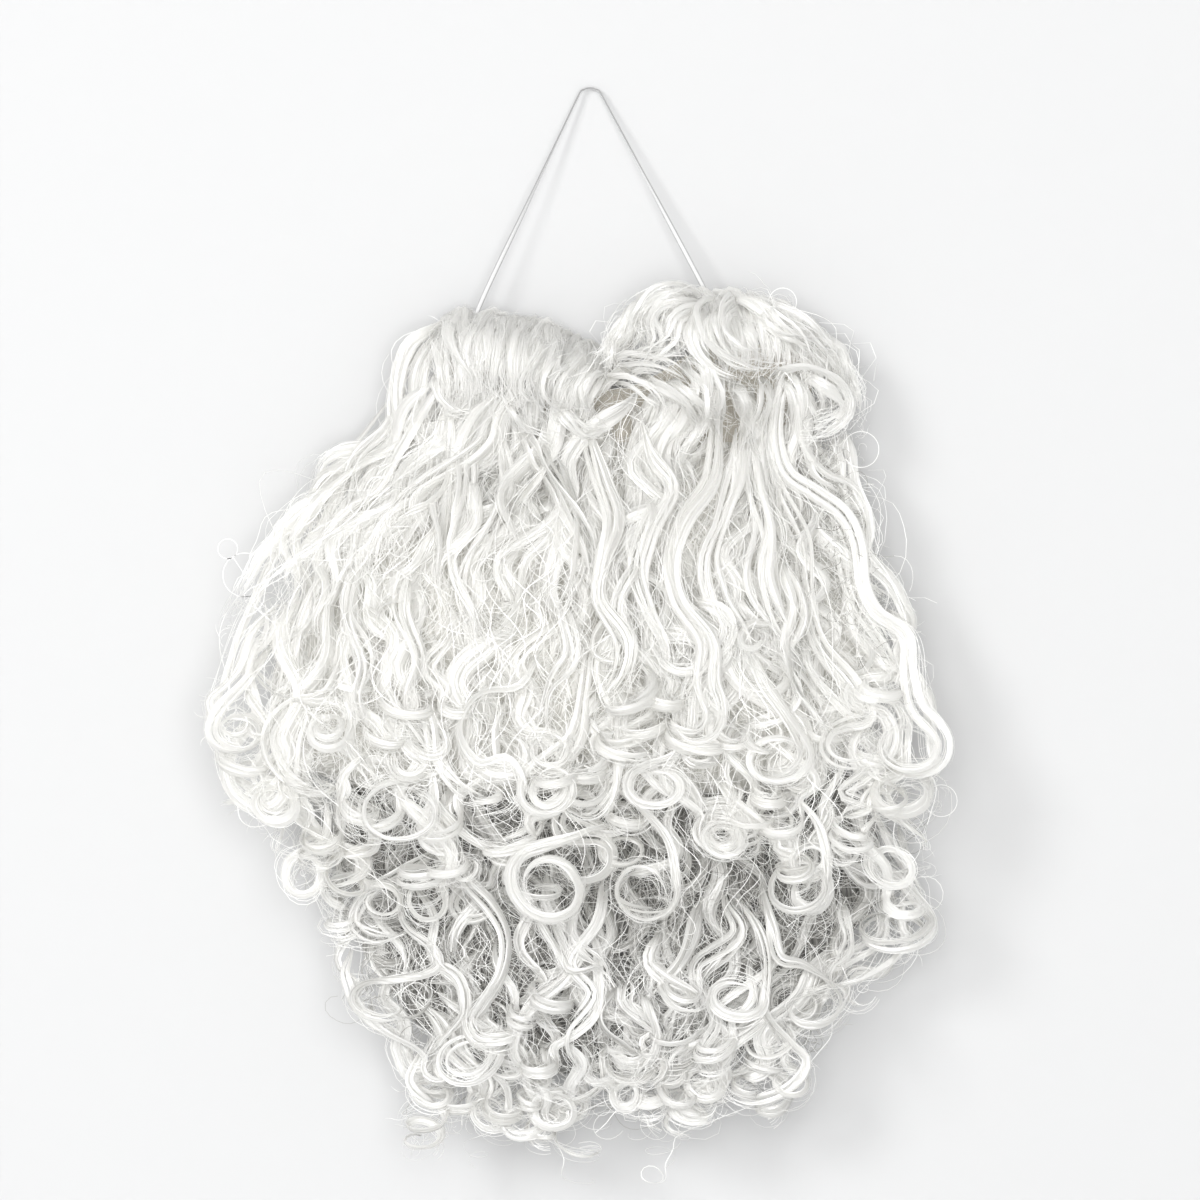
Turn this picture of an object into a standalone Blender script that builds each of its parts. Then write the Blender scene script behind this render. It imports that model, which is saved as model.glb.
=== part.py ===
"""A white curly false beard that hangs by its elastic strap.

The hair is swept locks, each a flat strip that waves as it hangs and ends in a ringlet.
Each tier's locks are joined to a body of hair, and the tiers are carried on a cloth backing.
Metres, +Z up, the wearer's front towards -Y. The origin is where the strap hangs on a peg.
"""

from collections import namedtuple
from math import cos, pi, sin

import bmesh
import bpy
import numpy as np
from mathutils import Vector

# Sizes of the whole beard
HAIR_WIDTH = 0.309          # across the widest curls
HAIR_LENGTH = 0.372         # from the top of the moustache to the lowest curl
HAIR_TOP = 0.085            # the moustache's top, below the peg
HAIR_LEFT = 0.162           # the hair's left edge, left of the peg
JAW_BOW = 0.009             # how far the middle stands in front of the sides

# Depths in front of the strap's middle on its peg
STRAP_END_DEPTH = 0.0062    # middle of the strap where it is sewn on
LOWER_DEPTH = 0.034         # what the lower tier keeps behind where the upper tier covers it
LOWER_REACH = 0.062         # front of the lower tier's own ringlets
UPPER_DEPTH = 0.069         # what the upper tier's body of hair is measured to
UPPER_REACH = 0.082         # front of the upper tier's ringlets
LIP_DEPTH = 0.046           # front of the moustache

# Cloth, elastic and clearances
BACKING_THICK = 0.0020
STRAP_WIDTH = 0.0026
STRAP_THICK = 0.0009
STRAP_POINTS = 29
STRAP_TILT = pi / 2          # the strap's twist between the peg and each sewn end
SEAT_GAP = 0.0003           # clearance between pieces that touch

# Locks
LOCK_WIDTH = 0.0130         # width of a full lock where it leaves the body
RINGLET_WIDTH = 0.64        # a lock's width in its ringlet over its width above
HANGING_FLATNESS = 0.45     # thickness over width where the lock hangs
RINGLET_FLATNESS = 0.56     # the same in the ringlet
RING_DEPTH = 0.60           # a side-on ringlet's reach forward over its reach sideways
LOCK_SIDES = 5
STEPS_PER_WAVE = 5
STEPS_PER_TURN = 8
RINGLET = 0.0150            # radius of a full ringlet
SWAY = 0.0080               # reach of a full wave
TURN_PITCH = 1.30           # a ringlet's advance in one turn over its width
CURL_TAPER = 0.20           # how much of its radius a side-on ringlet loses by its end
SPIRAL_TAPER = 0.30         # the same of one that faces forward, which winds in flat
LOCK_LIFT = 0.004           # how far forward the foremost ringlets are lifted
GROOVE = 0.0050             # how deep the groove between two locks lies
SWELL = 0.0012              # how far a ridge swells and sinks along its length
SCALLOP = 0.012             # how far a lock's end hangs below the groove beside it
BODY_ROWS = 12
DROOP = 0.0120              # how far the moustache's front hangs below its back

BACKING_FACE = STRAP_END_DEPTH + STRAP_THICK / 2 + SEAT_GAP
BACKING_FRONT = BACKING_FACE + BACKING_THICK
TIER_FACE = BACKING_FRONT + SEAT_GAP

WHITE_HAIR = (0.90, 0.89, 0.86, 1.0)
BACKING_CREAM = (0.82, 0.78, 0.69, 1.0)
STRAP_WHITE = (0.93, 0.93, 0.93, 1.0)

# A section of a tier's body of hair. down, left and right are shares of the hair's length
# and width; back and front are shares of the way from the tier's face to its full depth.
Section = namedtuple("Section", "down left right back front")

UPPER_SECTIONS = (
    Section(0.151, 0.28, 0.865, 0.00, 0.15),
    Section(0.185, 0.235, 0.88, 0.00, 0.40),
    Section(0.250, 0.155, 0.90, 0.06, 0.62),
    Section(0.350, 0.080, 0.935, 0.24, 0.72),
    Section(0.450, 0.055, 0.955, 0.42, 0.78),
    Section(0.540, 0.065, 0.950, 0.43, 0.78),
    Section(0.600, 0.13, 0.91, 0.44, 0.72),
    Section(0.640, 0.24, 0.82, 0.46, 0.62),
)
LOWER_SECTIONS = (
    Section(0.262, 0.30, 0.81, 0.00, 0.12),
    Section(0.350, 0.21, 0.86, -0.30, 0.42),
    Section(0.450, 0.15, 0.91, -0.34, 0.78),
    Section(0.560, 0.13, 0.93, -0.34, 0.86),
    Section(0.660, 0.16, 0.92, -0.34, 0.96),
    Section(0.760, 0.22, 0.88, -0.34, 1.35),
    Section(0.850, 0.28, 0.81, -0.26, 1.20),
    Section(0.920, 0.35, 0.68, 0.00, 0.66),
)
# How the ridges of a tier's body wave: reach and count of the waves, and how far the start
# of the wave shifts from one lock to the next, in degrees.
Waves = namedtuple("Waves", "sway count shift")

UPPER_WAVES = Waves(1.7, 2.1, 47.0)
LOWER_WAVES = Waves(1.5, 2.9, -47.0)

# A lock's free end. root_d is where it leaves its ridge and curl where its ringlet starts, as
# shares of the hair's width and length. bow is a share of the width, sway and ring are
# shares of SWAY and RINGLET, waves and turns are counts, face is the ringlet axis's turn from
# hanging down (0) to facing forward (90), lean its slant sideways, start where on its circle
# the ringlet begins, all in degrees. size is a share of LOCK_WIDTH and lift of LOCK_LIFT.
Lock = namedtuple("Lock", "root_d curl_a curl_d bow sway waves ring turns face lean start size lift")

UPPER_LOCKS = (
    Lock(0.22, 0.060, 0.470, -0.03, 0.7, 1.2, 0.70, 1.80, 35, -50, -20, 0.90, 0.0),
    Lock(0.42, 0.105, 0.570, -0.01, 0.5, 0.7, 0.80, 0.93, 60, -20, 20, 0.95, 0.1),
    Lock(0.34, 0.165, 0.480, 0.00, 0.5, 0.6, 1.15, 0.93, 70, -25, -50, 1.10, 0.5),
    Lock(0.50, 0.265, 0.580, 0.00, 0.5, 0.4, 1.05, 0.93, 75, 10, -10, 1.10, 0.8),
    Lock(0.56, 0.440, 0.650, 0.01, 0.5, 0.5, 1.15, 0.93, 75, 15, 30, 1.15, 0.8),
    Lock(0.48, 0.495, 0.560, 0.00, 0.4, 0.4, 0.85, 0.93, 40, 0, -10, 1.00, 0.9),
    Lock(0.50, 0.610, 0.560, 0.00, 0.4, 0.4, 0.85, 0.93, 80, 0, 20, 1.00, 1.0),
    Lock(0.57, 0.590, 0.680, 0.01, 0.5, 0.6, 1.05, 0.93, 70, -20, 0, 1.05, 0.8),
    Lock(0.57, 0.700, 0.655, 0.00, 0.5, 0.5, 0.95, 0.80, 50, 25, -40, 1.00, 0.8),
    Lock(0.44, 0.790, 0.530, 0.00, 0.4, 0.4, 0.95, 0.93, 70, -10, -30, 1.05, 0.8),
    Lock(0.56, 0.800, 0.665, 0.00, 0.5, 0.6, 1.00, 0.93, 80, 30, -40, 1.10, 0.6),
    Lock(0.40, 0.885, 0.575, 0.01, 0.6, 0.8, 0.85, 1.60, 30, 60, 40, 1.00, 0.4),
    Lock(0.24, 0.950, 0.500, 0.04, 0.8, 1.3, 0.85, 0.93, 65, 40, 20, 1.05, 0.1),
)
LOWER_LOCKS = (
    Lock(0.52, 0.130, 0.655, 0.00, 0.5, 0.6, 0.70, 0.93, 80, -30, -50, 0.90, 0.0),
    Lock(0.68, 0.240, 0.785, 0.00, 0.5, 0.5, 0.80, 1.60, 20, -70, 0, 1.00, 0.4),
    Lock(0.80, 0.300, 0.925, -0.01, 0.5, 0.5, 0.72, 2.40, 25, -10, -10, 0.80, 0.3),
    Lock(0.74, 0.350, 0.850, 0.00, 0.5, 0.5, 0.95, 0.93, 75, 20, -50, 1.05, 0.8),
    Lock(0.83, 0.435, 0.920, 0.00, 0.4, 0.4, 0.70, 0.93, 80, 15, -10, 0.95, 0.3),
    Lock(0.72, 0.500, 0.830, 0.00, 0.5, 0.5, 0.80, 1.50, 25, 50, 10, 1.00, 0.8),
    Lock(0.84, 0.590, 0.925, 0.00, 0.5, 0.5, 0.50, 1.50, 25, 60, 30, 0.80, 0.4),
    Lock(0.67, 0.630, 0.770, 0.00, 0.5, 0.5, 0.90, 1.50, 30, -10, 10, 1.05, 0.9),
    Lock(0.77, 0.725, 0.870, 0.00, 0.5, 0.6, 1.10, 0.88, 80, -15, 0, 1.00, 0.5),
    Lock(0.68, 0.745, 0.775, 0.00, 0.4, 0.4, 0.90, 0.93, 85, 10, -50, 0.95, 0.6),
    Lock(0.70, 0.835, 0.805, 0.00, 0.5, 0.5, 0.95, 0.93, 75, 30, -40, 1.10, 0.5),
    Lock(0.58, 0.930, 0.710, 0.01, 0.5, 0.6, 0.90, 0.93, 70, 30, -10, 1.05, 0.2),
    Lock(0.50, 0.945, 0.630, 0.01, 0.5, 0.6, 0.65, 1.50, 20, 70, -40, 0.90, 0.0),
)

# A tuft of the moustache. It comes over the ridge at ridge, falls to hem, and turns under.
# Both are shares of the hair's width and length; reach is a share of LIP_DEPTH's free depth.
Tuft = namedtuple("Tuft", "ridge_a ridge_d hem_a hem_d reach size")

LEFT_TUFTS = (
    Tuft(0.330, 0.046, 0.285, 0.136, 0.70, 1.05),
    Tuft(0.352, 0.034, 0.322, 0.140, 0.88, 1.15),
    Tuft(0.385, 0.034, 0.352, 0.143, 1.00, 1.20),
    Tuft(0.420, 0.040, 0.392, 0.144, 0.92, 1.15),
    Tuft(0.455, 0.048, 0.432, 0.145, 1.00, 1.20),
    Tuft(0.490, 0.060, 0.470, 0.146, 0.86, 1.10),
    Tuft(0.525, 0.074, 0.512, 0.147, 0.78, 1.05),
    Tuft(0.549, 0.084, 0.545, 0.147, 0.55, 0.80),
)
RIGHT_TUFTS = (
    Tuft(0.575, 0.070, 0.572, 0.146, 0.60, 0.85),
    Tuft(0.603, 0.022, 0.604, 0.146, 0.85, 1.15),
    Tuft(0.640, 0.006, 0.640, 0.144, 1.00, 1.20),
    Tuft(0.680, 0.008, 0.684, 0.142, 0.88, 1.15),
    Tuft(0.718, 0.008, 0.728, 0.140, 1.00, 1.20),
    Tuft(0.757, 0.014, 0.775, 0.140, 0.96, 1.20),
    Tuft(0.795, 0.034, 0.820, 0.142, 0.86, 1.15),
    Tuft(0.828, 0.060, 0.862, 0.146, 0.65, 1.05),
)

# A swirl of hair wound flat on the front of the moustache. Its middle is a share of the
# hair's width and length, its radius a share of RINGLET, its start an angle in degrees.
Swirl = namedtuple("Swirl", "middle_a middle_d radius turns start size")

LEFT_SWIRLS = ()
RIGHT_SWIRLS = (
    Swirl(0.640, 0.060, 0.95, 1.25, 200, 0.50),
    Swirl(0.742, 0.078, 1.15, 1.45, 150, 0.52),
)


def across_to_x(across):
    return across * HAIR_WIDTH - HAIR_LEFT


def down_to_z(down):
    return -HAIR_TOP - down * HAIR_LENGTH


def jaw_bow(x):
    """How far the beard's middle stands forward, as it does round a jaw."""
    middle = HAIR_WIDTH / 2 - HAIR_LEFT
    side = (x - middle) / (HAIR_WIDTH / 2)
    return JAW_BOW * max(0.0, 1.0 - side * side)


def placed(x, depth, z):
    """A point from x, its depth in front of the peg before the jaw's bow, and z."""
    return Vector((x, -depth - jaw_bow(x), z))


def smooth(value):
    value = np.clip(value, 0.0, 1.0)
    return value * value * (3.0 - 2.0 * value)


def material(name, colour, roughness):
    made = bpy.data.materials.new(name)
    made.use_nodes = True
    shader = made.node_tree.nodes["Principled BSDF"]
    shader.inputs["Base Color"].default_value = colour
    shader.inputs["Roughness"].default_value = roughness
    shader.inputs["Metallic"].default_value = 0.0
    return made


def new_object(name, mesh, collection, finish):
    made = bpy.data.objects.new(name, mesh)
    mesh.materials.append(finish)
    collection.objects.link(made)
    return made


def loft(name, rings):
    """A closed skin over rings of equally many points, with a flat cap at each end."""
    mesh = bpy.data.meshes.new(name)
    skin = bmesh.new()
    rows = [[skin.verts.new(point) for point in ring] for ring in rings]
    for first, second in zip(rows, rows[1:]):
        count = len(first)
        for i in range(count):
            j = (i + 1) % count
            skin.faces.new((first[i], first[j], second[j], second[i]))
    skin.faces.new(rows[0][::-1])
    skin.faces.new(rows[-1])
    bmesh.ops.recalc_face_normals(skin, faces=skin.faces)
    bmesh.ops.triangulate(skin, faces=skin.faces)
    skin.to_mesh(mesh)
    skin.free()
    mesh.shade_smooth()
    return mesh


def section_at(sections, down):
    """A tier's section at this share of the length."""
    downs = [s.down for s in sections]
    return Section(down, *(float(np.interp(down, downs, [s[k] for s in sections]))
                           for k in range(1, 5)))


def body_front(sections, face, span, x, z):
    """The depth of a tier's body of hair, in front at this x and z, on a ridge."""
    s = section_at(sections, (-HAIR_TOP - z) / HAIR_LENGTH)
    left, right = across_to_x(s.left), across_to_x(s.right)
    back, front = face + span * s.back, face + span * s.front
    side = min(1.0, abs(2.0 * x - left - right) / (right - left))
    middle = back + (front - back) * 0.30
    return middle + (front - middle) * (1.0 - side * side) ** 0.30


def ridge_share(waves, count, i, progress):
    """Where ridge i runs, as a share of the body's width, at this share of its length."""
    room = 1.0 / count
    reach = min(waves.sway * SWAY / HAIR_WIDTH * 1.3, room * 0.62)
    edge = sin(pi * (i + 0.5) / count) ** 0.5
    angle = 2.0 * pi * waves.count * progress + np.radians(waves.shift) * i
    return (i + 0.5) * room + edge * reach * sin(angle) * (0.3 + 0.7 * progress)


def tier_body(name, tier, count):
    """The body of hair of one tier, with a ridge down its front for each lock."""
    sections, face, span, waves = tier[:4]
    first, last = sections[0].down, sections[-1].down
    rings = []
    for row in range(BODY_ROWS):
        progress = row / (BODY_ROWS - 1)
        down = first + (last - first) * progress
        s = section_at(sections, down)
        left, right = across_to_x(s.left), across_to_x(s.right)
        middle_x, half = (left + right) / 2, (right - left) / 2
        z = down_to_z(down)
        ridges = [ridge_share(waves, count, i, progress) for i in range(count)]
        ring = []
        for i in range(count + 1):
            # The groove before ridge i, then the two corners of its crest.
            before = ridges[i - 1] if i > 0 else -ridges[0]
            after = ridges[i] if i < count else 2.0 - ridges[-1]
            groove = (before + after) / 2
            shares = [(groove, 1.0)]
            if i < count:
                shares += [(after - 0.22 / count, 0.0), (after + 0.22 / count, 0.0)]
            for share, sunk in shares:
                side = min(1.0, max(-1.0, 2.0 * share - 1.0))
                x = middle_x + side * half
                level = body_front(sections, face, span, x, z)
                swell = SWELL * sin(4.0 * pi * waves.count * progress + i)
                cut = min(GROOVE, 0.45 * (level - face - span * s.back))
                level += (swell * (1.0 - sunk) - cut * sunk) * (1.0 - abs(side) ** 4)
                hem = SCALLOP * (0.5 - sunk) * smooth((progress - 0.75) / 0.25)
                ring.append(placed(x, level, z - float(hem)))
        for side in (0.94, 0.62, 0.2, -0.2, -0.62, -0.94):
            ring.append(placed(middle_x + side * half, face + span * s.back, z))
        rings.append(ring)
    return loft(name, rings)


def lock_mesh(name, lock, tier, ridge, count):
    """The free end of one lock, from where it leaves its ridge to the end of its ringlet."""
    sections, face, span, waves, least, most = tier
    width = LOCK_WIDTH * lock.size
    first, last = sections[0].down, sections[-1].down
    leaves = section_at(sections, lock.root_d)
    share = ridge_share(waves, count, ridge, (lock.root_d - first) / (last - first))
    share = min(max(share, 0.05), 0.95)
    root_x = across_to_x(leaves.left + share * (leaves.right - leaves.left))
    root_z = down_to_z(lock.root_d)
    fall_x = across_to_x(lock.curl_a) - root_x
    fall_z = down_to_z(lock.curl_d) - root_z

    # Steps are close in the ringlet and wide where the lock hangs.
    hanging_steps = lock.waves * STEPS_PER_WAVE
    steps = int(round(hanging_steps + lock.turns * STEPS_PER_TURN)) + 1
    share = np.linspace(0.0, 1.0, steps)
    knee = hanging_steps / (steps - 1)
    phase = np.interp(share, (0.0, knee, 1.0), (0.0, lock.waves, lock.waves + lock.turns))
    curl = smooth((phase - lock.waves + 0.45) / 0.8)
    step = np.gradient(phase)
    progress = np.cumsum((1.0 - curl) * step)
    progress = (progress - progress[0]) / (progress[-1] - progress[0])
    wound = np.clip((phase - lock.waves) / lock.turns, 0.0, 1.0)
    facing = sin(np.radians(lock.face))
    taper = CURL_TAPER + (SPIRAL_TAPER - CURL_TAPER) * facing
    ring = lock.ring * RINGLET * (1.0 - taper * wound)
    sway = lock.sway * SWAY * (0.20 + 0.80 * phase / lock.waves)
    radius = sway * (1.0 - curl) + ring * curl
    widths = width * (0.75 + 0.25 * smooth(share / 0.2)) * (1.0 - (1.0 - RINGLET_WIDTH) * curl)
    widths *= 1.0 - 0.45 * smooth((share - 0.86) / 0.14)
    flatness = HANGING_FLATNESS + (RINGLET_FLATNESS - HANGING_FLATNESS) * curl
    pitch = TURN_PITCH * (1.0 - 0.30 * facing) * width * RINGLET_WIDTH
    advance = np.cumsum(curl * step) * pitch
    # A lock's face looks forward where its hanging part becomes the ringlet.
    hand = 1.0 if ridge % 2 else -1.0
    angle = pi / 2 + np.radians(lock.start) + hand * 2.0 * pi * (phase - lock.waves + 0.05)
    ring_depth = RING_DEPTH + (1.0 - RING_DEPTH) * facing

    # The ringlet's axis stays clear of the tier behind and of the tier's own depth.
    face_turn, lean = np.radians(lock.face), np.radians(lock.lean)
    half = width * RINGLET_WIDTH * 0.6
    reach = ring[0] * RING_DEPTH * cos(face_turn) + half
    nearest = least + reach
    farthest = most - reach - float(advance[-1]) * sin(face_turn)
    curl_front = body_front(sections, face, span, across_to_x(lock.curl_a), down_to_z(lock.curl_d))
    wanted = curl_front + reach * 0.75 + lock.lift * LOCK_LIFT
    curl_depth = max(nearest, min(wanted, farthest))
    points, outs = [], []
    for i in range(steps):
        c = float(curl[i])
        slant, tilt = lean * c, face_turn * c
        side = Vector((cos(slant), 0.0, sin(slant)))
        fall = Vector((sin(slant), 0.0, -cos(slant)))
        axis = fall * cos(tilt) + Vector((0.0, sin(tilt), 0.0))
        forward = Vector((0.0, cos(tilt), 0.0)) - fall * sin(tilt)
        away = side * cos(angle[i]) + forward * sin(angle[i]) * (0.35 + (ring_depth - 0.35) * c)
        guide_x = root_x + fall_x * float(progress[i])
        guide_x += lock.bow * HAIR_WIDTH * sin(pi * progress[i])
        guide_z = root_z + fall_z * float(progress[i])
        thick = float(widths[i] * flatness[i])
        bury = 0.75 - 1.45 * (1.0 - float(smooth(share[i] / 0.34)))
        lying = body_front(sections, face, span, guide_x, guide_z) + bury * thick
        if share[i] > 0.3:
            lying = max(lying, least + thick)
        depth = lying * (1.0 - c) + curl_depth * c
        p = Vector((guide_x, depth, guide_z)) + away * float(radius[i]) + axis * float(advance[i])
        if c < 0.5 and share[i] > 0.3:
            p.y = max(p.y, least + thick * 0.6)
        points.append(p)
        outs.append(Vector((0.0, 1.0, 0.0)) * (1.0 - c) + away * c)
    return strip(name, points, outs, widths, flatness)


def strip(name, points, outs, widths, flatness, sides=LOCK_SIDES):
    """A flat strip swept along points, its broad side facing outs."""
    rings = []
    for i, p in enumerate(points):
        before, after = points[max(i - 1, 0)], points[min(i + 1, len(points) - 1)]
        along = (after - before).normalized()
        out = outs[i] - along * outs[i].dot(along)
        out.normalize()
        broad = along.cross(out)
        half = float(widths[i]) / 2
        ring = []
        for k in range(sides):
            turn = 2.0 * pi * k / sides
            q = p + broad * half * sin(turn) + out * half * float(flatness[i]) * cos(turn)
            ring.append(placed(q.x, q.y, q.z))
        rings.append(ring)
    return loft(name, rings)


def swirl_mesh(name, swirl):
    """A flat coil of hair on the moustache's front, proud at its middle."""
    steps = int(swirl.turns * 8) + 1
    width = LOCK_WIDTH * swirl.size
    share = np.linspace(0.0, 1.0, steps)
    radius = swirl.radius * RINGLET * (1.0 - 0.66 * share)
    points, outs = [], []
    for i in range(steps):
        turn = np.radians(swirl.start) + 2.0 * pi * swirl.turns * share[i]
        x = across_to_x(swirl.middle_a) + radius[i] * cos(turn)
        z = down_to_z(swirl.middle_d) + radius[i] * sin(turn)
        depth = LIP_DEPTH - width * (0.60 - 0.45 * share[i])
        points.append(Vector((x, depth, z)))
        outs.append(Vector((cos(turn) * 0.3, 1.0, sin(turn) * 0.3)))
    widths = width * (1.0 - 0.35 * smooth((share - 0.7) / 0.3))
    return strip(name, points, outs, widths, [0.75] * steps)


def lip_body(name, tufts):
    """A side of the moustache: a roll over the backing's edge, ridged for each tuft."""
    sides = 14
    rings = []

    def ring_of(ridge_a, ridge_d, hem_a, hem_d, reach, inset):
        front = TIER_FACE + (LIP_DEPTH - TIER_FACE) * reach - inset
        top, low = down_to_z(ridge_d) - inset, down_to_z(hem_d) + inset
        ring = []
        for i in range(sides):
            turn = 2.0 * pi * i / sides
            out = 0.5 - 0.5 * cos(turn)
            depth = TIER_FACE + (front - TIER_FACE) * out
            z = (top + low) / 2 + sin(turn) * (top - low) / 2
            if sin(turn) < 0.0:
                z -= DROOP * out ** 2 * -sin(turn)
            share = 0.5 - 0.5 * sin(turn)
            ring.append(placed(across_to_x(ridge_a + (hem_a - ridge_a) * share), depth, z))
        return ring

    step = tufts[1].ridge_a - tufts[0].ridge_a
    rings.append(ring_of(tufts[0].ridge_a - step * 0.42, tufts[0].ridge_d, tufts[0].hem_a - step * 0.42,
                         tufts[0].hem_d, tufts[0].reach, GROOVE * 1.6))
    for i, tuft in enumerate(tufts):
        if i > 0:
            step = tuft.ridge_a - tufts[i - 1].ridge_a
            groove = [(a + b) / 2 for a, b in zip(tufts[i - 1], tuft)]
            rings.append(ring_of(*groove[:5], GROOVE * 0.8))
        for way in (-0.22, 0.22):
            rings.append(ring_of(tuft.ridge_a + way * step, tuft.ridge_d, tuft.hem_a + way * step,
                                 tuft.hem_d, tuft.reach, 0.0))
    rings.append(ring_of(tuft.ridge_a + step * 0.42, tuft.ridge_d, tuft.hem_a + step * 0.42,
                         tuft.hem_d, tuft.reach, GROOVE * 1.6))
    return loft(name, rings)


def joined(name, body, pieces, collection, helpers, finish):
    """One solid: the body of hair with its locks united to it."""
    made = new_object(name, body, collection, finish)
    for piece in pieces:
        lock = new_object(piece.name, piece, helpers, finish)
        lock.hide_render = True
        lock.display_type = "WIRE"
        union = made.modifiers.new(piece.name, "BOOLEAN")
        union.operation = "UNION"
        union.object = lock
        union.solver = "EXACT"
    return made


def backing(collection, finish):
    """The cloth that carries the hair: dipped under the nose, down to the chin."""
    columns, rows = 14, 2
    left, right = 0.330, 0.825
    mesh = bpy.data.meshes.new("backing")
    skin = bmesh.new()
    grid = []
    for row in range(rows + 1):
        line = []
        for column in range(columns + 1):
            share = column / columns
            across = left + (right - left) * share
            dip = 0.5 + 0.5 * cos(2.0 * pi * np.clip((across - 0.555) / 0.30, -0.5, 0.5))
            top = 0.062 + 0.052 * dip
            chin = sin(pi * share) ** 0.6
            bottom = 0.150 + 0.095 * chin
            down = top + (bottom - top) * row / rows
            line.append(skin.verts.new(placed(across_to_x(across), BACKING_FACE, down_to_z(down))))
        grid.append(line)
    for upper, lower in zip(grid, grid[1:]):
        for column in range(columns):
            skin.faces.new((upper[column], lower[column], lower[column + 1], upper[column + 1]))
    skin.to_mesh(mesh)
    skin.free()
    mesh.shade_smooth()
    made = new_object("backing", mesh, collection, finish)
    wall = made.modifiers.new("cloth", "SOLIDIFY")
    wall.thickness = BACKING_THICK
    wall.offset = 1.0
    return made


# The strap's route, chosen by hand from its left sewn end, over the peg, to its right sewn
# end: x, how far forward it has come from the peg (0) to the sewn end (1), and z.
STRAP_ROUTE = (
    (-0.0532, 1.000, -0.1200),
    (-0.0505, 1.000, -0.1060),
    (-0.0462, 0.900, -0.0916),
    (-0.0255, 0.500, -0.0473),
    (-0.0049, 0.090, -0.0031),
    (-0.0029, 0.020, -0.0008),
    (0.0000, 0.000, 0.0000),
    (0.0028, 0.020, -0.0008),
    (0.0048, 0.090, -0.0029),
    (0.0268, 0.500, -0.0447),
    (0.0487, 0.900, -0.0865),
    (0.0546, 1.000, -0.1000),
    (0.0580, 1.000, -0.1140),
)


def strap_points():
    """Points of a smooth curve through the strap's route, closest over the peg."""
    route = np.array(STRAP_ROUTE)
    knots = np.concatenate(([0.0], np.cumsum(np.linalg.norm(np.diff(route[:, (0, 2)], axis=0), axis=1) ** 0.5)))
    dense = []
    for i in range(len(route) - 1):
        before, after = max(i - 1, 0), min(i + 2, len(route) - 1)
        room = knots[i + 1] - knots[i]
        leave = (route[i + 1] - route[before]) / (knots[i + 1] - knots[before]) * room
        reach = (route[after] - route[i]) / (knots[after] - knots[i]) * room
        for t in np.linspace(0.0, 1.0, 24, endpoint=False):
            first = 2 * t ** 3 - 3 * t ** 2 + 1
            second = t ** 3 - 2 * t ** 2 + t
            third = 3 * t ** 2 - 2 * t ** 3
            fourth = t ** 3 - t ** 2
            dense.append(first * route[i] + second * leave + third * route[i + 1] + fourth * reach)
    dense = np.array(dense + [route[-1]])
    lengths = np.concatenate(([0.0], np.cumsum(np.linalg.norm(np.diff(dense, axis=0)[:, (0, 2)], axis=1))))
    even = np.linspace(-1.0, 1.0, STRAP_POINTS)
    even = lengths[-1] * (0.5 + 0.5 * np.sign(even) * np.abs(even) ** 1.35)
    spread = [np.interp(even, lengths, dense[:, k]) for k in range(3)]
    points = []
    for x, share, z in zip(*spread):
        sewn = -placed(x, STRAP_END_DEPTH, z).y
        points.append(Vector((x, -sewn * share, z + STRAP_THICK / 2)))
    return points


def strap(collection, finish):
    """The elastic: flat, edge-on over the peg and flat on the backing's back at its ends."""
    points = strap_points()
    line = bpy.data.curves.new("elastic_strap", "CURVE")
    line.dimensions = "3D"
    line.twist_mode = "Z_UP"
    line.bevel_depth = STRAP_THICK / 2
    line.extrude = (STRAP_WIDTH - STRAP_THICK) / 2
    line.bevel_resolution = 2
    line.render_resolution_u = 0
    line.use_fill_caps = True
    spline = line.splines.new("POLY")
    spline.points.add(len(points) - 1)
    for i, p in enumerate(points):
        spline.points[i].co = (*p, 1.0)
        share = i / (len(points) - 1)
        end = abs(2.0 * share - 1.0)
        way = -1.0 if share < 0.5 else 1.0
        spline.points[i].tilt = STRAP_TILT * way * (1.0 - float(smooth((end - 0.10) / 0.70)))
    line.materials.append(finish)
    made = bpy.data.objects.new("elastic_strap", line)
    collection.objects.link(made)
    return made


def main():
    for old in list(bpy.data.objects):
        bpy.data.objects.remove(old)
    beard = bpy.data.collections.new("false_beard")
    helpers = bpy.data.collections.new("helpers")
    bpy.context.scene.collection.children.link(beard)
    bpy.context.scene.collection.children.link(helpers)
    hair = material("white_hair", WHITE_HAIR, 0.38)
    cloth = material("backing_cloth", BACKING_CREAM, 0.85)
    elastic = material("white_elastic", STRAP_WHITE, 0.60)

    backing(beard, cloth)
    strap(beard, elastic)
    span = UPPER_DEPTH - TIER_FACE
    upper = (UPPER_SECTIONS, TIER_FACE, span, UPPER_WAVES, LOWER_DEPTH + SEAT_GAP, UPPER_REACH)
    span = LOWER_DEPTH - TIER_FACE
    lower = (LOWER_SECTIONS, TIER_FACE, span, LOWER_WAVES, BACKING_FACE, LOWER_REACH)
    for name, tier, locks in (("upper_hair", upper, UPPER_LOCKS), ("lower_hair", lower, LOWER_LOCKS)):
        count = len(locks)
        body = tier_body(name, tier, count)
        pieces = [lock_mesh(f"{name}_lock_{i}", lock, tier, i, count) for i, lock in enumerate(locks)]
        joined(name, body, pieces, beard, helpers, hair)
    sides = (("moustache_left", LEFT_TUFTS, LEFT_SWIRLS), ("moustache_right", RIGHT_TUFTS, RIGHT_SWIRLS))
    for name, tufts, swirls in sides:
        pieces = [swirl_mesh(f"{name}_swirl_{i}", swirl) for i, swirl in enumerate(swirls)]
        joined(name, lip_body(name, tufts), pieces, beard, helpers, hair)


main()
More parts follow.
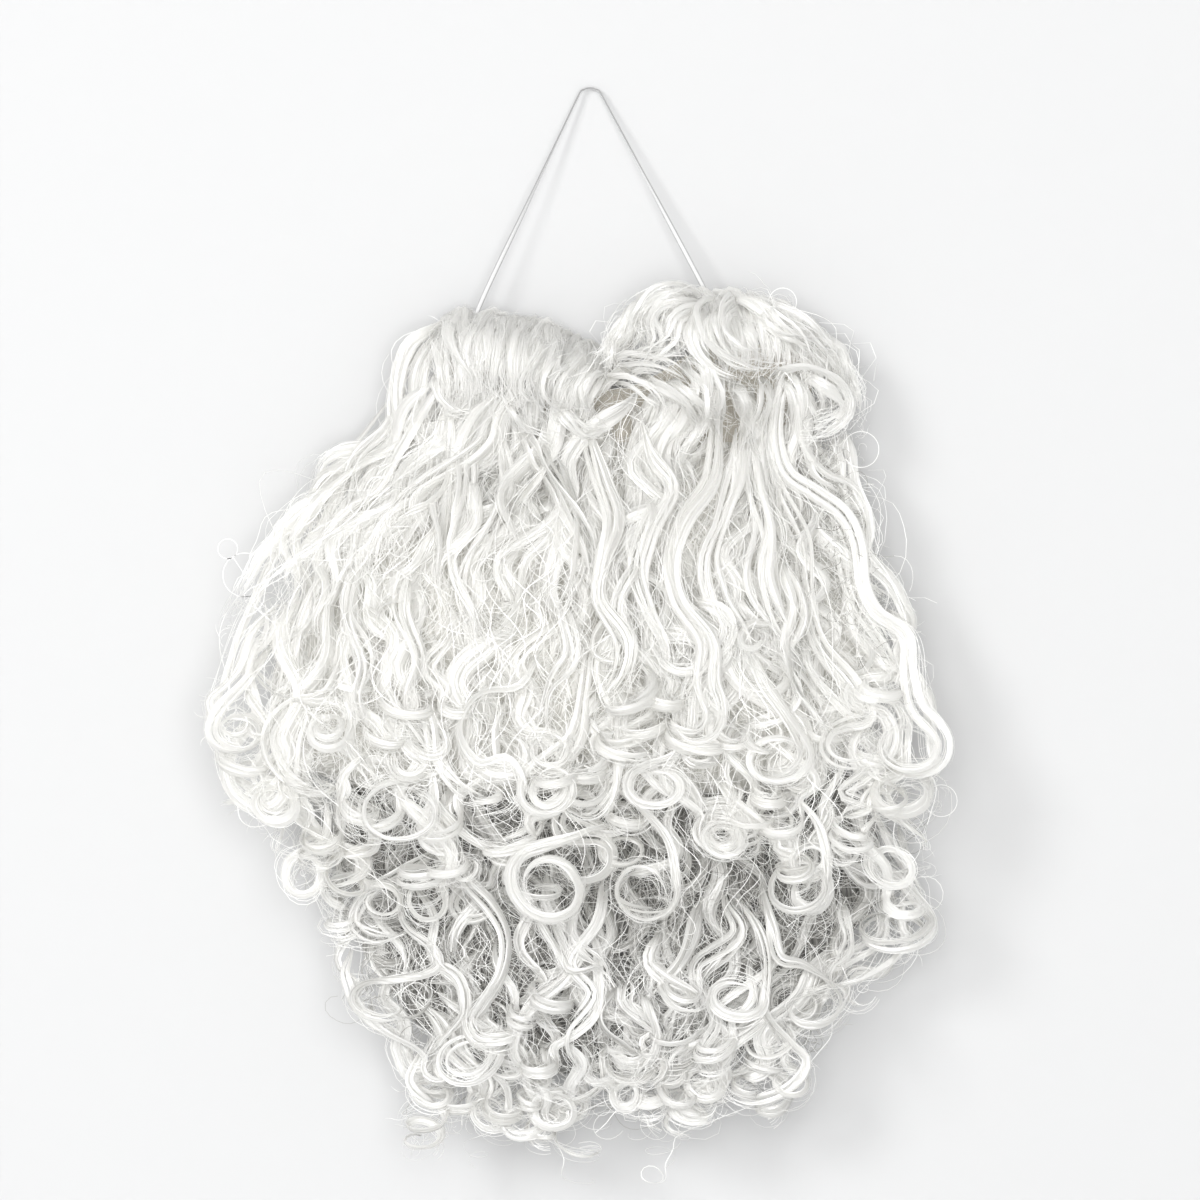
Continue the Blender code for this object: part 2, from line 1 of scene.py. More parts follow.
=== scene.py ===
"""The looks of a white curly false beard that hangs on a wall by its elastic strap.

Every lock is a bundle of flat bands of hair with fine strands lying on them. The main locks
follow rows chosen from the photograph, and seeded ones fill in between them.
Places in those rows are pixels of the 1200 pixel photograph. Depths come from the frame, and
count from the strap's middle on its peg towards the viewer. Other lengths are in metres.
"""

from collections import namedtuple
from math import pi, sin

import bpy
import numpy as np
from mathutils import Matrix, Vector
from mathutils.bvhtree import BVHTree

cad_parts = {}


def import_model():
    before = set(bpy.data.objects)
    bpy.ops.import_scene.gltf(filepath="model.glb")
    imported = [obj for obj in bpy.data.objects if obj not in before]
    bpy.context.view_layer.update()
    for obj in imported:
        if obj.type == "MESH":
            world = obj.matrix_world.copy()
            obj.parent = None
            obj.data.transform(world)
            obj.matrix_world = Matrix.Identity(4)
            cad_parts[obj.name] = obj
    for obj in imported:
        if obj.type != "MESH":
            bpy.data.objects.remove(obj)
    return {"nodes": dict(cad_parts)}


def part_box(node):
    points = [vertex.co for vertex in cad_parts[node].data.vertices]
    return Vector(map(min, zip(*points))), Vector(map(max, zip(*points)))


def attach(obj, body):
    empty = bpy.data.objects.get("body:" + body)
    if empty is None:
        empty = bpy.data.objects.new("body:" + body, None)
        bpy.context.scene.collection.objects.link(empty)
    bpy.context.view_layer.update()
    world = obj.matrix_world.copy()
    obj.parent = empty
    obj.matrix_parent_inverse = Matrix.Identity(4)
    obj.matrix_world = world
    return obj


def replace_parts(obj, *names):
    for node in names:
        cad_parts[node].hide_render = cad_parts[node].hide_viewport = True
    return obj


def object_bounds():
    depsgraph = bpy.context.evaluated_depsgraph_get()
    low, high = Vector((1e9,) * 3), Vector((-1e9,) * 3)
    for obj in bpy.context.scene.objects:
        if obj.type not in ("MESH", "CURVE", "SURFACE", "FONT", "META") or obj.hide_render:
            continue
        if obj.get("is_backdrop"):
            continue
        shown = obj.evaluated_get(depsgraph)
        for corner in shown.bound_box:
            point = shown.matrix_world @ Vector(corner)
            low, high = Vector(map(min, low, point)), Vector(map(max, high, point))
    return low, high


# The photograph
PIXEL = 0.00042             # metres of the beard in one pixel
PEG_X, PEG_Y = 590.0, 87.0  # the strap's bend over its peg, in pixels
PHOTO_SIZE = 1200.0         # its width and height, in pixels
MM = 0.001

# Hair
SEED = 11
TOWARDS = (0.0, 1.0, 0.0)   # the way to the viewer, before a piece is made
FIBRE_WIDTH = 0.00030       # one loose fibre, or a few lying together
BAND_COLUMNS = 6            # points across one flat band of a lock
BAND_RIDGE = 0.00028        # how uneven a band is across
HANGING_STEP = 0.0032       # length between two sections of a lock that only hangs
CURLED_STEP = 0.0022        # the same where it ends in a ringlet
STRANDS_OVER = 0.0030       # half the width of band that a look's count of strands is for
WIDE_FROM = 0.22            # share of a lock where it has its full width
THIN_FROM = 0.55            # share of it where it begins to thin
THIN_OVER = 0.45            # share of it along which it thins
ROOT_SHADE_TO = 0.40         # share of it as far as the painted shade at its root reaches
ROUTE_STEP = 4.0            # pixels between two points of a lock's route
RING_KNOTS = 12             # knots in one turn of a ringlet
STREAKS = 900               # a strand's streaks start at a random place below this
ROOM = 0.013                # how far hair may reach past the frame's box
LEAST_DEPTH = 0.005         # the least depth of a lock
NET_LEAST_DEPTH = 0.004     # of a net's fibre
FLYAWAY_LEAST_DEPTH = 0.003
DEPTH_COLUMNS = 28          # places where the frame's depth is taken, over its width
DEPTH_ROWS = 32             # and over its height
DEPTH_FALL = 0.94           # share of its neighbours' depth that a place beside the hair gets
# How far under the frame's surface the locks are laid
KEPT = {"upper": 0.007, "lower": 0.006, "left": 0.005, "right": 0.005}

# Where a lock is rooted: the share of it along which it comes forward from its root, and how
# far back its root is from its place in the tier
Root = namedtuple("Root", "share behind")
TIER_ROOT = Root(0.12, 0.008)
ROLL_ROOT = Root(0.40, 0.030)
LIP_ROOT = Root(0.30, 0.022)
VEIL_ROOT = Root(0.30, 0.006)

# Colours of the locks, at their lightest, between and at their darkest; the darkest is partly the streaks'
# own tone and partly painted shade
HAIR_LIGHT = (0.99, 0.987, 0.972, 1.0)
SOFT_SHADE = (0.965, 0.961, 0.942, 1.0)
SOFT_DEEP = (0.78, 0.77, 0.735, 1.0)
# The lower tier's curls: the same hair with darker stops, painted shade
CURL_SHADE = (0.865, 0.86, 0.838, 1.0)
CURL_DEEP = (0.36, 0.352, 0.33, 1.0)
SOFT_THROUGH = 0.50         # share of the light that goes through the upper tier's hair
CURL_THROUGH = 0.38         # and through the lower one's

# Packed hair. top and bottom are its ends in pixels, behind how far it is behind the locks,
# back where its back is, and deep and light the colours of its front, dark with painted shade.
Packed = namedtuple("Packed", "tier top bottom behind back deep light")
PACKED = (
    Packed("upper", 430, 800, 0.010, 0.0055, (0.55, 0.54, 0.50, 1.0), (0.92, 0.91, 0.88, 1.0)),
    Packed("lower", 700, 1075, 0.011, 0.0040, (0.09, 0.088, 0.083, 1.0), (0.36, 0.352, 0.33, 1.0)),
)
PACKED_BACK = (0.86, 0.855, 0.83, 1.0)
PACKED_INSET = 0.010        # how far inside the frame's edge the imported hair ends
PACKED_LEAST = 0.004        # its least thickness, before it thins to its edge
PACKED_ROWS = 44
PACKED_COLUMNS = 30

CLOTH_COLOUR = (0.80, 0.755, 0.67, 1.0)
ELASTIC_COLOUR = (0.80, 0.80, 0.80, 1.0)
# The elastic's edges, darker with painted shade
ELASTIC_EDGE_SHADE = (0.34, 0.34, 0.34, 1.0)
WALL_COLOUR = (0.636, 0.638, 0.640, 1.0)

# The wall, the floor, the lights and the camera
WALL_BEHIND = 0.0022        # the wall's face behind the strap's middle on the peg
WALL_SIDE, WALL_TOP = 3.0, 2.4
FLOOR_Z, FLOOR_FRONT = -1.2, -6.0
Light = namedtuple("Light", "name place size power")
LIGHTS = (Light("key", (-2.4, -3.2, 1.3), 1.4, 66.0), Light("fill", (0.1, -3.6, 0.0), 2.4, 76.0))
WORLD_LIGHT = 0.60
CAMERA_DISTANCE = 4.0
CAMERA_END = 30.0
SENSOR = 36.0
SCALE_DEPTH = 0.016         # the depth in the hair at which a pixel has its true size

# A lock laid along a route. path is its pixels, wide its width in pixels, lift how far it
# lies in front of its tier in millimetres, at its start and its end, and curl the ringlet at
# its end, or None.
Route = namedtuple("Route", "path wide lift curl", defaults=(None,))

# A ringlet. x and y are its middle in pixels, size its radius, turns its turns, positive for
# anticlockwise, squash its height over its width as it is seen, drop how far it moves in a
# turn, sideways and down, and shrink how much smaller it is at its end.
Curl = namedtuple("Curl", "x y size turns squash drop shrink")

# A bed of seeded locks. across is their place between the hair's left edge, -1, and its right
# edge, 1. Other pairs are the lowest and highest value, in pixels, and lift in millimetres.
# lean is how far locks lean to a side over their fall, and curled the share with ringlets.
Bed = namedtuple("Bed", "tier count across root fall lean sway wave ring turns wide lift curled")

# Hair rolled over an edge of the moustache. slant and fall are how far a strand goes across
# and down from the edge, in pixels, at the edge's first point and at its last.
Roll = namedtuple("Roll", "side edge slant fall count wide lift")

# The hair's left and right edges at a height, in pixels.
Edge = namedtuple("Edge", "y left right")
EDGES = (
    Edge(330, 430, 815),
    Edge(400, 400, 848),
    Edge(440, 378, 842),
    Edge(470, 340, 848),
    Edge(520, 300, 864),
    Edge(560, 262, 876),
    Edge(620, 236, 902),
    Edge(700, 216, 920),
    Edge(790, 236, 930),
    Edge(830, 276, 918),
    Edge(880, 306, 926),
    Edge(940, 340, 905),
    Edge(1000, 362, 852),
    Edge(1040, 400, 822),
    Edge(1090, 422, 780),
    Edge(1130, 430, 680),
)


def hair_x(px):
    return (px - PEG_X) * PIXEL


def hair_z(py):
    return (PEG_Y - py) * PIXEL


def drawn_in(value, low, high):
    """Values past low or high drawn in, so that they end less than ROOM beyond them."""
    over = np.maximum(value - high, 0.0)
    under = np.maximum(low - value, 0.0)
    return np.clip(value, low, high) + ROOM * (np.tanh(over / ROOM) - np.tanh(under / ROOM))


def smooth(value):
    value = np.clip(value, 0.0, 1.0)
    return value * value * (3.0 - 2.0 * value)


def wander(rng, n, scale, rough=3):
    """A smooth random line of n values about zero."""
    knots = rng.normal(0.0, scale, max(2, rough + 1))
    at = np.linspace(0.0, len(knots) - 1.0, n)
    first = np.floor(at).astype(int).clip(0, len(knots) - 2)
    share = smooth(at - first)
    return knots[first] * (1.0 - share) + knots[first + 1] * share


class Depths:
    """How far forward some of the frame's hair reaches at each x and z, smoothed."""

    def __init__(self, nodes, keep):
        boxes = np.array([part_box(node.name) for node in nodes])
        low, high = boxes[:, 0].min(axis=0), boxes[:, 1].max(axis=0)
        self.x = np.linspace(low[0], high[0], DEPTH_COLUMNS)
        self.z = np.linspace(low[2], high[2], DEPTH_ROWS)
        front = np.full((DEPTH_ROWS, DEPTH_COLUMNS), np.nan)
        for node in nodes:
            points = [node.matrix_world @ v.co for v in node.data.vertices]
            tree = BVHTree.FromPolygons(points, [tuple(p.vertices) for p in node.data.polygons])
            for r, z in enumerate(self.z):
                for c, x in enumerate(self.x):
                    hit = tree.ray_cast(Vector((x, -1.0, z)), Vector((0.0, 1.0, 0.0)))
                    if hit[0] is not None:
                        front[r, c] = np.fmax(front[r, c], -hit[0].y)
        self.solid = ~np.isnan(front)
        while np.isnan(front).any():
            front = self.spread(front)
        for _ in range(3):
            front = self.blur(front)
        self.front = front - keep

    @staticmethod
    def around(front):
        padded = np.pad(front, 1, mode="edge")
        rows, columns = front.shape
        return [padded[i:i + rows, j:j + columns] for i in range(3) for j in range(3)]

    def spread(self, front):
        cells = np.stack(self.around(front))
        count = (~np.isnan(cells)).sum(axis=0)
        total = np.nansum(cells, axis=0)
        mean = np.where(count > 0, total / np.maximum(count, 1), np.nan)
        return np.where(np.isnan(front), mean * DEPTH_FALL, front)

    def blur(self, front):
        return np.mean(np.stack(self.around(front)), axis=0)

    def at(self, x, z):
        """The depth at arrays of x and z."""
        c = np.interp(x, self.x, np.arange(DEPTH_COLUMNS))
        r = np.interp(z, self.z, np.arange(DEPTH_ROWS))
        c0 = np.floor(c).astype(int).clip(0, DEPTH_COLUMNS - 2)
        r0 = np.floor(r).astype(int).clip(0, DEPTH_ROWS - 2)
        u, v = c - c0, r - r0
        lower = self.front[r0, c0] * (1 - u) + self.front[r0, c0 + 1] * u
        upper = self.front[r0 + 1, c0] * (1 - u) + self.front[r0 + 1, c0 + 1] * u
        return lower * (1 - v) + upper * v


class Piece:
    """A mesh that gathers ribbons and tubes, with how far along and across each point is."""

    def __init__(self, name):
        self.name = name
        self.points, self.quads, self.marks, self.shades = [], [], [], []
        self.count = 0
        low, high = (np.array(corner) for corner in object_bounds())
        self.low = np.array((low[0], -high[1], low[2]))
        self.high = np.array((high[0], -low[1], high[2]))

    def add_grid(self, grid, closed, across, shade):
        """grid is sections of points. across is where its streaks start and how far they go."""
        sections, width = grid.shape[:2]
        grid = np.array(grid)
        for axis in (0, 2):
            grid[:, :, axis] = drawn_in(grid[:, :, axis], self.low[axis], self.high[axis])
        index = self.count + np.arange(sections * width).reshape(sections, width)
        if closed:
            index = np.concatenate((index, index[:, :1]), axis=1)
        quads = np.stack((index[:-1, :-1], index[:-1, 1:], index[1:, 1:], index[1:, :-1]), axis=-1)
        step = np.linalg.norm(np.diff(grid[:, 0], axis=0), axis=1)
        along = np.concatenate(([0.0], np.cumsum(step)))
        side = np.linspace(0.0, 1.0, width) * across[1] + across[0]
        mark = np.stack(np.broadcast_arrays(along[:, None], side[None, :]), axis=-1)
        self.points.append(grid.reshape(-1, 3))
        self.quads.append(quads.reshape(-1, 4))
        self.marks.append(mark.reshape(-1, 2))
        self.shades.append(np.broadcast_to(shade, (sections, width)).reshape(-1))
        self.count += sections * width

    def made(self, finish):
        points = np.concatenate(self.points)
        # Depths count towards the viewer, who is at -Y.
        points[:, 1] *= -1.0
        quads = np.concatenate(self.quads)
        marks = np.concatenate(self.marks)
        shades = np.concatenate(self.shades)
        mesh = bpy.data.meshes.new(self.name)
        mesh.vertices.add(len(points))
        mesh.vertices.foreach_set("co", points.astype(np.float32).ravel())
        mesh.loops.add(quads.size)
        mesh.loops.foreach_set("vertex_index", quads.astype(np.int32).ravel())
        mesh.polygons.add(len(quads))
        mesh.polygons.foreach_set("loop_start", np.arange(0, quads.size, 4, dtype=np.int32))
        mesh.polygons.foreach_set("use_smooth", np.ones(len(quads), dtype=bool))
        mesh.update(calc_edges=True)
        layer = mesh.uv_layers.new(name="strand")
        layer.data.foreach_set("uv", marks[quads.ravel()].astype(np.float32).ravel())
        tone = mesh.attributes.new("tone", "FLOAT", "POINT")
        tone.data.foreach_set("value", shades.astype(np.float32))
        mesh.validate()
        mesh.materials.append(finish)
        made = bpy.data.objects.new(self.name, mesh)
        bpy.context.scene.collection.objects.link(made)
        return made


def along_curve(knots, step):
    """Points a step apart on a smooth curve through the knots."""
    knots = np.asarray(knots, dtype=float)
    if len(knots) == 2:
        knots = np.stack((knots[0], knots.mean(axis=0), knots[1]))
    ends = np.concatenate(([2 * knots[0] - knots[1]], knots, [2 * knots[-1] - knots[-2]]))
    dense = []
    for i in range(len(knots) - 1):
        a, b, c, d = ends[i:i + 4]
        t = np.linspace(0.0, 1.0, 12, endpoint=False)[:, None]
        dense.append(0.5 * (2 * b + (c - a) * t + (2 * a - 5 * b + 4 * c - d) * t ** 2
                            + (3 * b - a - 3 * c + d) * t ** 3))
    dense.append(knots[-1:])
    return evenly(np.concatenate(dense), step)


def evenly(line, step):
    """The line with points a step apart."""
    steps = np.linalg.norm(np.diff(line[:, :3], axis=0), axis=1)
    lengths = np.concatenate(([0.0], np.cumsum(steps)))
    count = max(6, int(round(lengths[-1] / step)) + 1)
    at = np.linspace(0.0, lengths[-1], count)
    return np.stack([np.interp(at, lengths, line[:, k]) for k in range(line.shape[1])], axis=1)


def ringlet(entry, curl):
    """Knots of a ringlet that a lock runs into from entry: pixels, depth in pixels, facing."""
    start = np.array((entry[0] - curl.x, (entry[1] - curl.y) / curl.squash)) / curl.size
    away = max(1.02, float(np.hypot(*start)))
    hand = 1.0 if curl.turns < 0.0 else -1.0
    first = np.arctan2(start[1], start[0]) + hand * np.arccos(1.0 / away)
    count = max(4, int(abs(curl.turns) * RING_KNOTS))
    share = np.linspace(0.0, 1.0, count)
    turned = first + hand * 2.0 * pi * abs(curl.turns) * share
    reach = curl.size * (1.0 - curl.shrink * share) * (1.0 + 0.10 * np.sin(2.0 * turned + curl.x))
    side_on = (1.0 - curl.squash ** 2) ** 0.5
    passed = share * abs(curl.turns)
    x = curl.x + reach * np.cos(turned) + passed * curl.drop[0]
    y = curl.y + reach * np.sin(turned) * curl.squash + passed * curl.drop[1]
    depth = reach * (np.sin(turned) - sin(first)) * side_on + passed * curl.size * 0.35 * curl.squash
    outward = 1.15 - curl.squash
    faces = np.stack((np.cos(turned) * outward, curl.squash + np.sin(turned) * side_on * outward,
                      -np.sin(turned) * curl.squash * outward), axis=1)
    return np.concatenate((np.stack((x, y, depth), axis=1), faces), axis=1)


def lock_line(route, depths, root=TIER_ROOT):
    """A lock's points in metres (x, depth, z) and the way that its flat side faces."""
    knots = np.array([(p[0], p[1], 0.0, 0.0, 1.0, 0.0) for p in route.path], dtype=float)
    level = None
    if route.curl is not None:
        coil = ringlet(route.path[-1], route.curl)
        knots = np.concatenate((knots, coil))
        level = depths.at(hair_x(np.array([route.curl.x])), hair_z(np.array([route.curl.y])))[0]
    line = along_curve(np.column_stack((knots, np.arange(len(knots)))), ROUTE_STEP)
    order = line[:, 6]
    x = hair_x(line[:, 0])
    z = hair_z(line[:, 1])
    share = np.linspace(0.0, 1.0, len(line))
    depth = depths.at(x, z)
    if level is not None:
        blend = smooth((order - len(route.path) + 2.0) / 2.0)
        depth = depth * (1.0 - blend) + level * blend
    depth = depth + (route.lift[0] + (route.lift[1] - route.lift[0]) * share) * MM
    depth = depth + line[:, 2] * PIXEL
    depth = depth - root.behind * (1.0 - np.sin(0.5 * pi * np.clip(share / root.share, 0.0, 1.0)))
    depth = np.maximum(depth, LEAST_DEPTH)
    step = HANGING_STEP if route.curl is None else CURLED_STEP
    line = evenly(np.column_stack((x, depth, z, line[:, 3:6])), step)
    return line[:, :3], line[:, 3:]


def axes_along(points, faces):
    """The way along a line at each point, the way its flat side faces, and the way across."""
    along = np.gradient(points, axis=0)
    along /= np.linalg.norm(along, axis=1, keepdims=True) + 1e-9
    out = faces - along * np.sum(faces * along, axis=1, keepdims=True)
    out /= np.linalg.norm(out, axis=1, keepdims=True) + 1e-9
    return along, out, np.cross(along, out)


def add_ribbon(piece, points, across, width, shade, place):
    """A flat strand along points, with across as its own width's way at each point."""
    half = across * (width / 2.0)[:, None]
    piece.add_grid(np.stack((points - half, points + half), axis=1), False, (place, 1.0), shade)


def add_fibre(piece, points, width, shade, place):
    """One fibre along points, with its flat side to the viewer."""
    across = axes_along(points, np.tile(TOWARDS, (len(points), 1)))[2]
    add_ribbon(piece, points, across, width, shade, place)


# One flat band of a lock: its middle line, the ways across it and out of it, half its width,
# how far it arches, the share of the lock at which it ends, and its lightness
Band = namedtuple("Band", "centre broad out half arch end tone")


def add_lock(piece, route, depths, rng, look, root=TIER_ROOT):
    """A lock along a route: flat bands of hair side by side, strands on them, loose fibres."""
    points, faces = lock_line(route, depths, root)
    n = len(points)
    share = np.linspace(0.0, 1.0, n)
    wide = route.wide * PIXEL * look.breadth
    _, out, broad = axes_along(points, faces)
    twist = wander(rng, n, look.twist, 3)
    cosine, sine = np.cos(twist)[:, None], np.sin(twist)[:, None]
    out, broad = out * cosine + broad * sine, broad * cosine - out * sine
    width = wide * (look.root + (1.0 - look.root) * smooth(share / WIDE_FROM))
    width = width * (1.0 - (1.0 - look.end) * smooth((share - THIN_FROM) / THIN_OVER))
    width = width * (1.0 + wander(rng, n, 0.16, 5))
    # A lock's lightness: its look's tone, a random part, and painted shade towards its root
    tone = look.tone + rng.normal(0.0, 0.08) + look.root_tone * (1.0 - smooth(share / ROOT_SHADE_TO))
    bands = max(1, int(round(wide / look.band)))
    for i in range(bands):
        middle = (2.0 * (i + 0.5 + rng.uniform(-0.2, 0.2)) / bands - 1.0) * 0.8
        middle = middle + wander(rng, n, 1.0, 4) * look.split * (0.2 + 0.8 * share)
        proud = (1.0 - np.clip(middle, -1.0, 1.0) ** 2) * 0.5 + wander(rng, n, 0.5, 4)
        half = width / bands * rng.uniform(0.42, 0.66)
        arch = half * rng.uniform(0.25, 0.45)
        band_tone = tone + rng.normal(0.0, 0.08)
        end = 1.0 - abs(rng.normal(0.0, look.end_spread))
        centre = points + broad * (middle * width / 2)[:, None] + out * (proud * width * look.thick)[:, None]
        band = Band(centre, broad, out, half, arch, end, band_tone)
        add_band(piece, band, rng, look)
        add_strands(piece, band, rng, look)
    for _ in range(look.loose):
        a = (wander(rng, n, 0.7, 5) + rng.normal(0.0, 0.2)) * width * (0.6 + 0.7 * share)
        b = (0.5 + np.abs(wander(rng, n, 1.0, 4))) * width * look.thick
        line = points + broad * a[:, None] + out * b[:, None]
        first = int(n * rng.uniform(0.0, 0.4))
        narrow = np.full(n - first, FIBRE_WIDTH * rng.uniform(0.5, 1.0))
        shade = (tone + rng.normal(0.1, 0.12))[first:, None]
        add_ribbon(piece, line[first:], broad[first:], narrow, shade, rng.uniform(0, STREAKS))


def add_band(piece, band, rng, look):
    """A band's sheet, arched across and ridged lengthways, like combed hair."""
    n = len(band.centre)
    first = int(n * look.start_spread * rng.uniform(0.0, 0.5))
    last = max(first + 5, int(n * (band.end - 0.04)))
    places = np.linspace(-1.0, 1.0, BAND_COLUMNS) + rng.normal(0.0, 0.05, BAND_COLUMNS)
    ridge = rng.normal(0.0, BAND_RIDGE, BAND_COLUMNS)
    order = np.arange(n)
    close = np.clip((last - 0.6 - order) / 5.0, 0.12, 1.0) * np.clip((order - first + 0.8) / 3.0, 0.3, 1.0)
    side = places[None, :] * (band.half * look.core * close)[:, None]
    up = (1.0 - places[None, :] ** 2) * (band.arch * close)[:, None] + ridge[None, :]
    sheet = (band.centre[:, None, :] + band.broad[:, None, :] * side[:, :, None]
             + band.out[:, None, :] * up[:, :, None])
    shade = band.tone[:, None] + rng.normal(-0.05, 0.07, BAND_COLUMNS)[None, :]
    piece.add_grid(sheet[first:last], False, (rng.uniform(0, STREAKS), 5.0), shade[first:last])


def add_strands(piece, band, rng, look):
    """The fine strands that lie on a band, and stray from it towards its end."""
    n = len(band.centre)
    share = np.linspace(0.0, 1.0, n)
    strands = max(4, int(look.strands * float(np.max(band.half)) / STRANDS_OVER))
    for k in range(strands):
        stray = wander(rng, n, 1.0, 5) * (0.03 + look.fray * share ** 1.5)
        place = 2.0 * (k + rng.uniform(-0.5, 0.5)) / strands - 1.0 + stray
        up = band.arch * (1.0 - np.clip(place, -1.2, 1.2) ** 2) + np.abs(stray) * band.half * 0.4
        up = up + rng.uniform(0.0, 0.0004)
        line = band.centre + band.broad * (place * band.half)[:, None] + band.out * up[:, None]
        flat = band.broad - band.out * (place * 0.7 + rng.normal(0.0, 0.35))[:, None]
        flat /= np.linalg.norm(flat, axis=1, keepdims=True) + 1e-9
        first = int(n * rng.uniform(0.0, look.start_spread))
        last = min(n, max(first + 5, int(n * (band.end - abs(rng.normal(0.0, 0.06))))))
        size = last - first
        order = np.arange(size)
        ends = np.clip(np.minimum(order + 0.6, size - 0.6 - order) / 3.0, 0.15, 1.0)
        narrow = look.strand_width * rng.uniform(0.5, 1.5)
        shade = (band.tone + rng.normal(0.02, 0.09))[first:last, None]
        add_ribbon(piece, line[first:last], flat[first:last], narrow * ends, shade, rng.uniform(0, STREAKS))


def flow_x(across, y):
    """The pixel column of a place between the hair's edges, at arrays of heights."""
    heights = [edge.y for edge in EDGES]
    left = np.interp(y, heights, [edge.left for edge in EDGES])
    right = np.interp(y, heights, [edge.right for edge in EDGES])
    return (left + right) / 2 + np.asarray(across) * (right - left) / 2


def seeded_routes(bed, rng):
    """Routes for a bed of locks, spread over it and each different."""
    routes = []
    low, high = bed.across
    for i in range(bed.count):
        across = low + (high - low) * (i + rng.uniform(0.0, 1.0)) / bed.count
        y0 = rng.uniform(*bed.root)
        fall = rng.uniform(*bed.fall)
        sway = rng.uniform(*bed.sway)
        waves = fall / rng.uniform(*bed.wave)
        start = rng.uniform(0.0, 2.0 * pi)
        t = np.linspace(0.0, 1.0, max(5, int(waves * 6) + 3))
        y = y0 + fall * t
        x = flow_x(across + rng.normal(0.0, 0.08) * t, y) + rng.normal(0.0, bed.lean) * fall * (t - 0.5)
        x = x + sway * (0.3 + 0.7 * t) * np.sin(2.0 * pi * waves * t + start)
        x = x + rng.normal(0.0, 0.12) * fall * np.sin(pi * t)
        x = np.clip(x, flow_x(-1.0, y) - 4.0, flow_x(1.0, y) + 4.0)
        curl = None
        if rng.random() < bed.curled:
            size = rng.uniform(*bed.ring)
            hand = 1.0 if rng.random() < 0.5 else -1.0
            side = 1.0 if x[-1] > x[-2] else -1.0
            if abs(across) > 0.85:
                side = -1.0 if across > 0.0 else 1.0
            squash = rng.choice((0.4, 0.55, 0.8, 0.92))
            helix = squash < 0.6
            drop = (rng.normal(0.0, 4.0), size * (0.95 if helix else 0.1))
            left, right = flow_x(-1.0, y[-1]), flow_x(1.0, y[-1])
            middle = np.clip(x[-1] + side * size * 0.9, left + size, right - size)
            curl = Curl(float(middle), y[-1] + size * 0.9, size, side * rng.uniform(*bed.turns) * -hand,
                        squash, drop, rng.uniform(0.1, 0.4))
        lift = rng.uniform(*bed.lift)
        wide = rng.uniform(*bed.wide)
        routes.append(Route(tuple(zip(x, y)), wide, (lift, lift + rng.uniform(-1.0, 3.0)), curl))
    return routes


# The shares of a rolled strand's slant and fall that it has come at each of its points
ROLLED_SHARES = ((-0.06, 0.06), (0.0, 0.0), (0.35, 0.13), (0.85, 0.45), (1.05, 0.78), (0.72, 1.0))


def rolled_routes(roll, rng):
    """Routes for strands that come over an edge and hang from it."""
    edge = along_curve(np.array([(*p, 0.0) for p in roll.edge], dtype=float), 3.0)
    routes = []
    for i in range(roll.count):
        at = (i + rng.uniform(0.1, 0.9)) / roll.count
        x, y, _ = edge[int(at * (len(edge) - 1))]
        slant = roll.slant[0] + (roll.slant[1] - roll.slant[0]) * at + rng.normal(0.0, 8.0)
        fall = roll.fall[0] + (roll.fall[1] - roll.fall[0]) * at + rng.normal(0.0, 9.0)
        path = tuple((x + slant * a, y + rng.normal(0.0, 1.2) + fall * b) for a, b in ROLLED_SHARES)
        lift = rng.uniform(*roll.lift)
        routes.append(Route(path, rng.uniform(*roll.wide), (lift, lift - 3.0)))
    return routes


# How a lock is made up. breadth is its width over the route's, band the width of one of its
# flat bands, strands how many lie on 6 mm of band, loose its loose fibres, core the width of a
# band's sheet over the band's, strand_width a strand's width, thick the lock's depth over its
# width, root and end its width there over its full width, twist how far it turns about itself,
# split and fray how far bands and strands stray by its end, start_spread and end_spread how
# unevenly they start and end, tone its lightness, and root_tone the painted shade at its root.
Look = namedtuple(
    "Look",
    "breadth band strands loose core strand_width thick root end twist split fray"
    " start_spread end_spread tone root_tone",
)
SATIN = Look(0.92, 0.0026, 12, 6, 0.90, 0.00032, 0.24, 0.50, 0.45, 0.50, 0.50, 0.70, 0.08, 0.12, 0.02, -0.10)
SOFT = Look(0.95, 0.0052, 12, 8, 0.92, 0.00034, 0.20, 0.50, 0.60, 0.60, 0.40, 0.60, 0.20, 0.15, 0.06, -0.08)
# The moustache's locks, lighter with painted light
LIP = SATIN._replace(tone=0.36)
# Locks under the lower tier's others, darker with painted shade
UNDER = Look(0.95, 0.0030, 9, 4, 0.90, 0.00036, 0.24, 0.55, 0.50, 0.55, 0.40, 0.60, 0.20, 0.12, -0.26, -0.10)
# Hair rolled over the moustache's top edge, lighter with painted light, with painted shade at its root
ROLLED = Look(0.90, 0.0046, 14, 4, 0.92, 0.00034, 0.16, 0.90, 0.75, 0.20, 0.22, 0.35, 0.04, 0.10, 0.44,
              -0.30)

# The moustache's hair that comes over its top edge, from its left end to its right
ROLLS = (
    Roll("left", ((436, 336), (446, 320), (462, 312)), (-2, 14), (74, 84), 9, (18, 26), (-4, 1)),
    Roll("left", ((462, 312), (500, 317), (540, 324), (572, 337), (598, 350), (618, 362)), (4, -30),
          (84, 70), 42, (14, 26), (-2, 4)),
    Roll("right", ((706, 296), (680, 290), (652, 298), (637, 318), (634, 340)), (-6, -26), (78, 44), 13,
          (16, 26), (-4, 2)),
    Roll("right", ((696, 296), (726, 295), (760, 301), (792, 316), (822, 340), (842, 366)), (16, 14),
          (84, 60), 26, (16, 26), (-5, 2)),
)
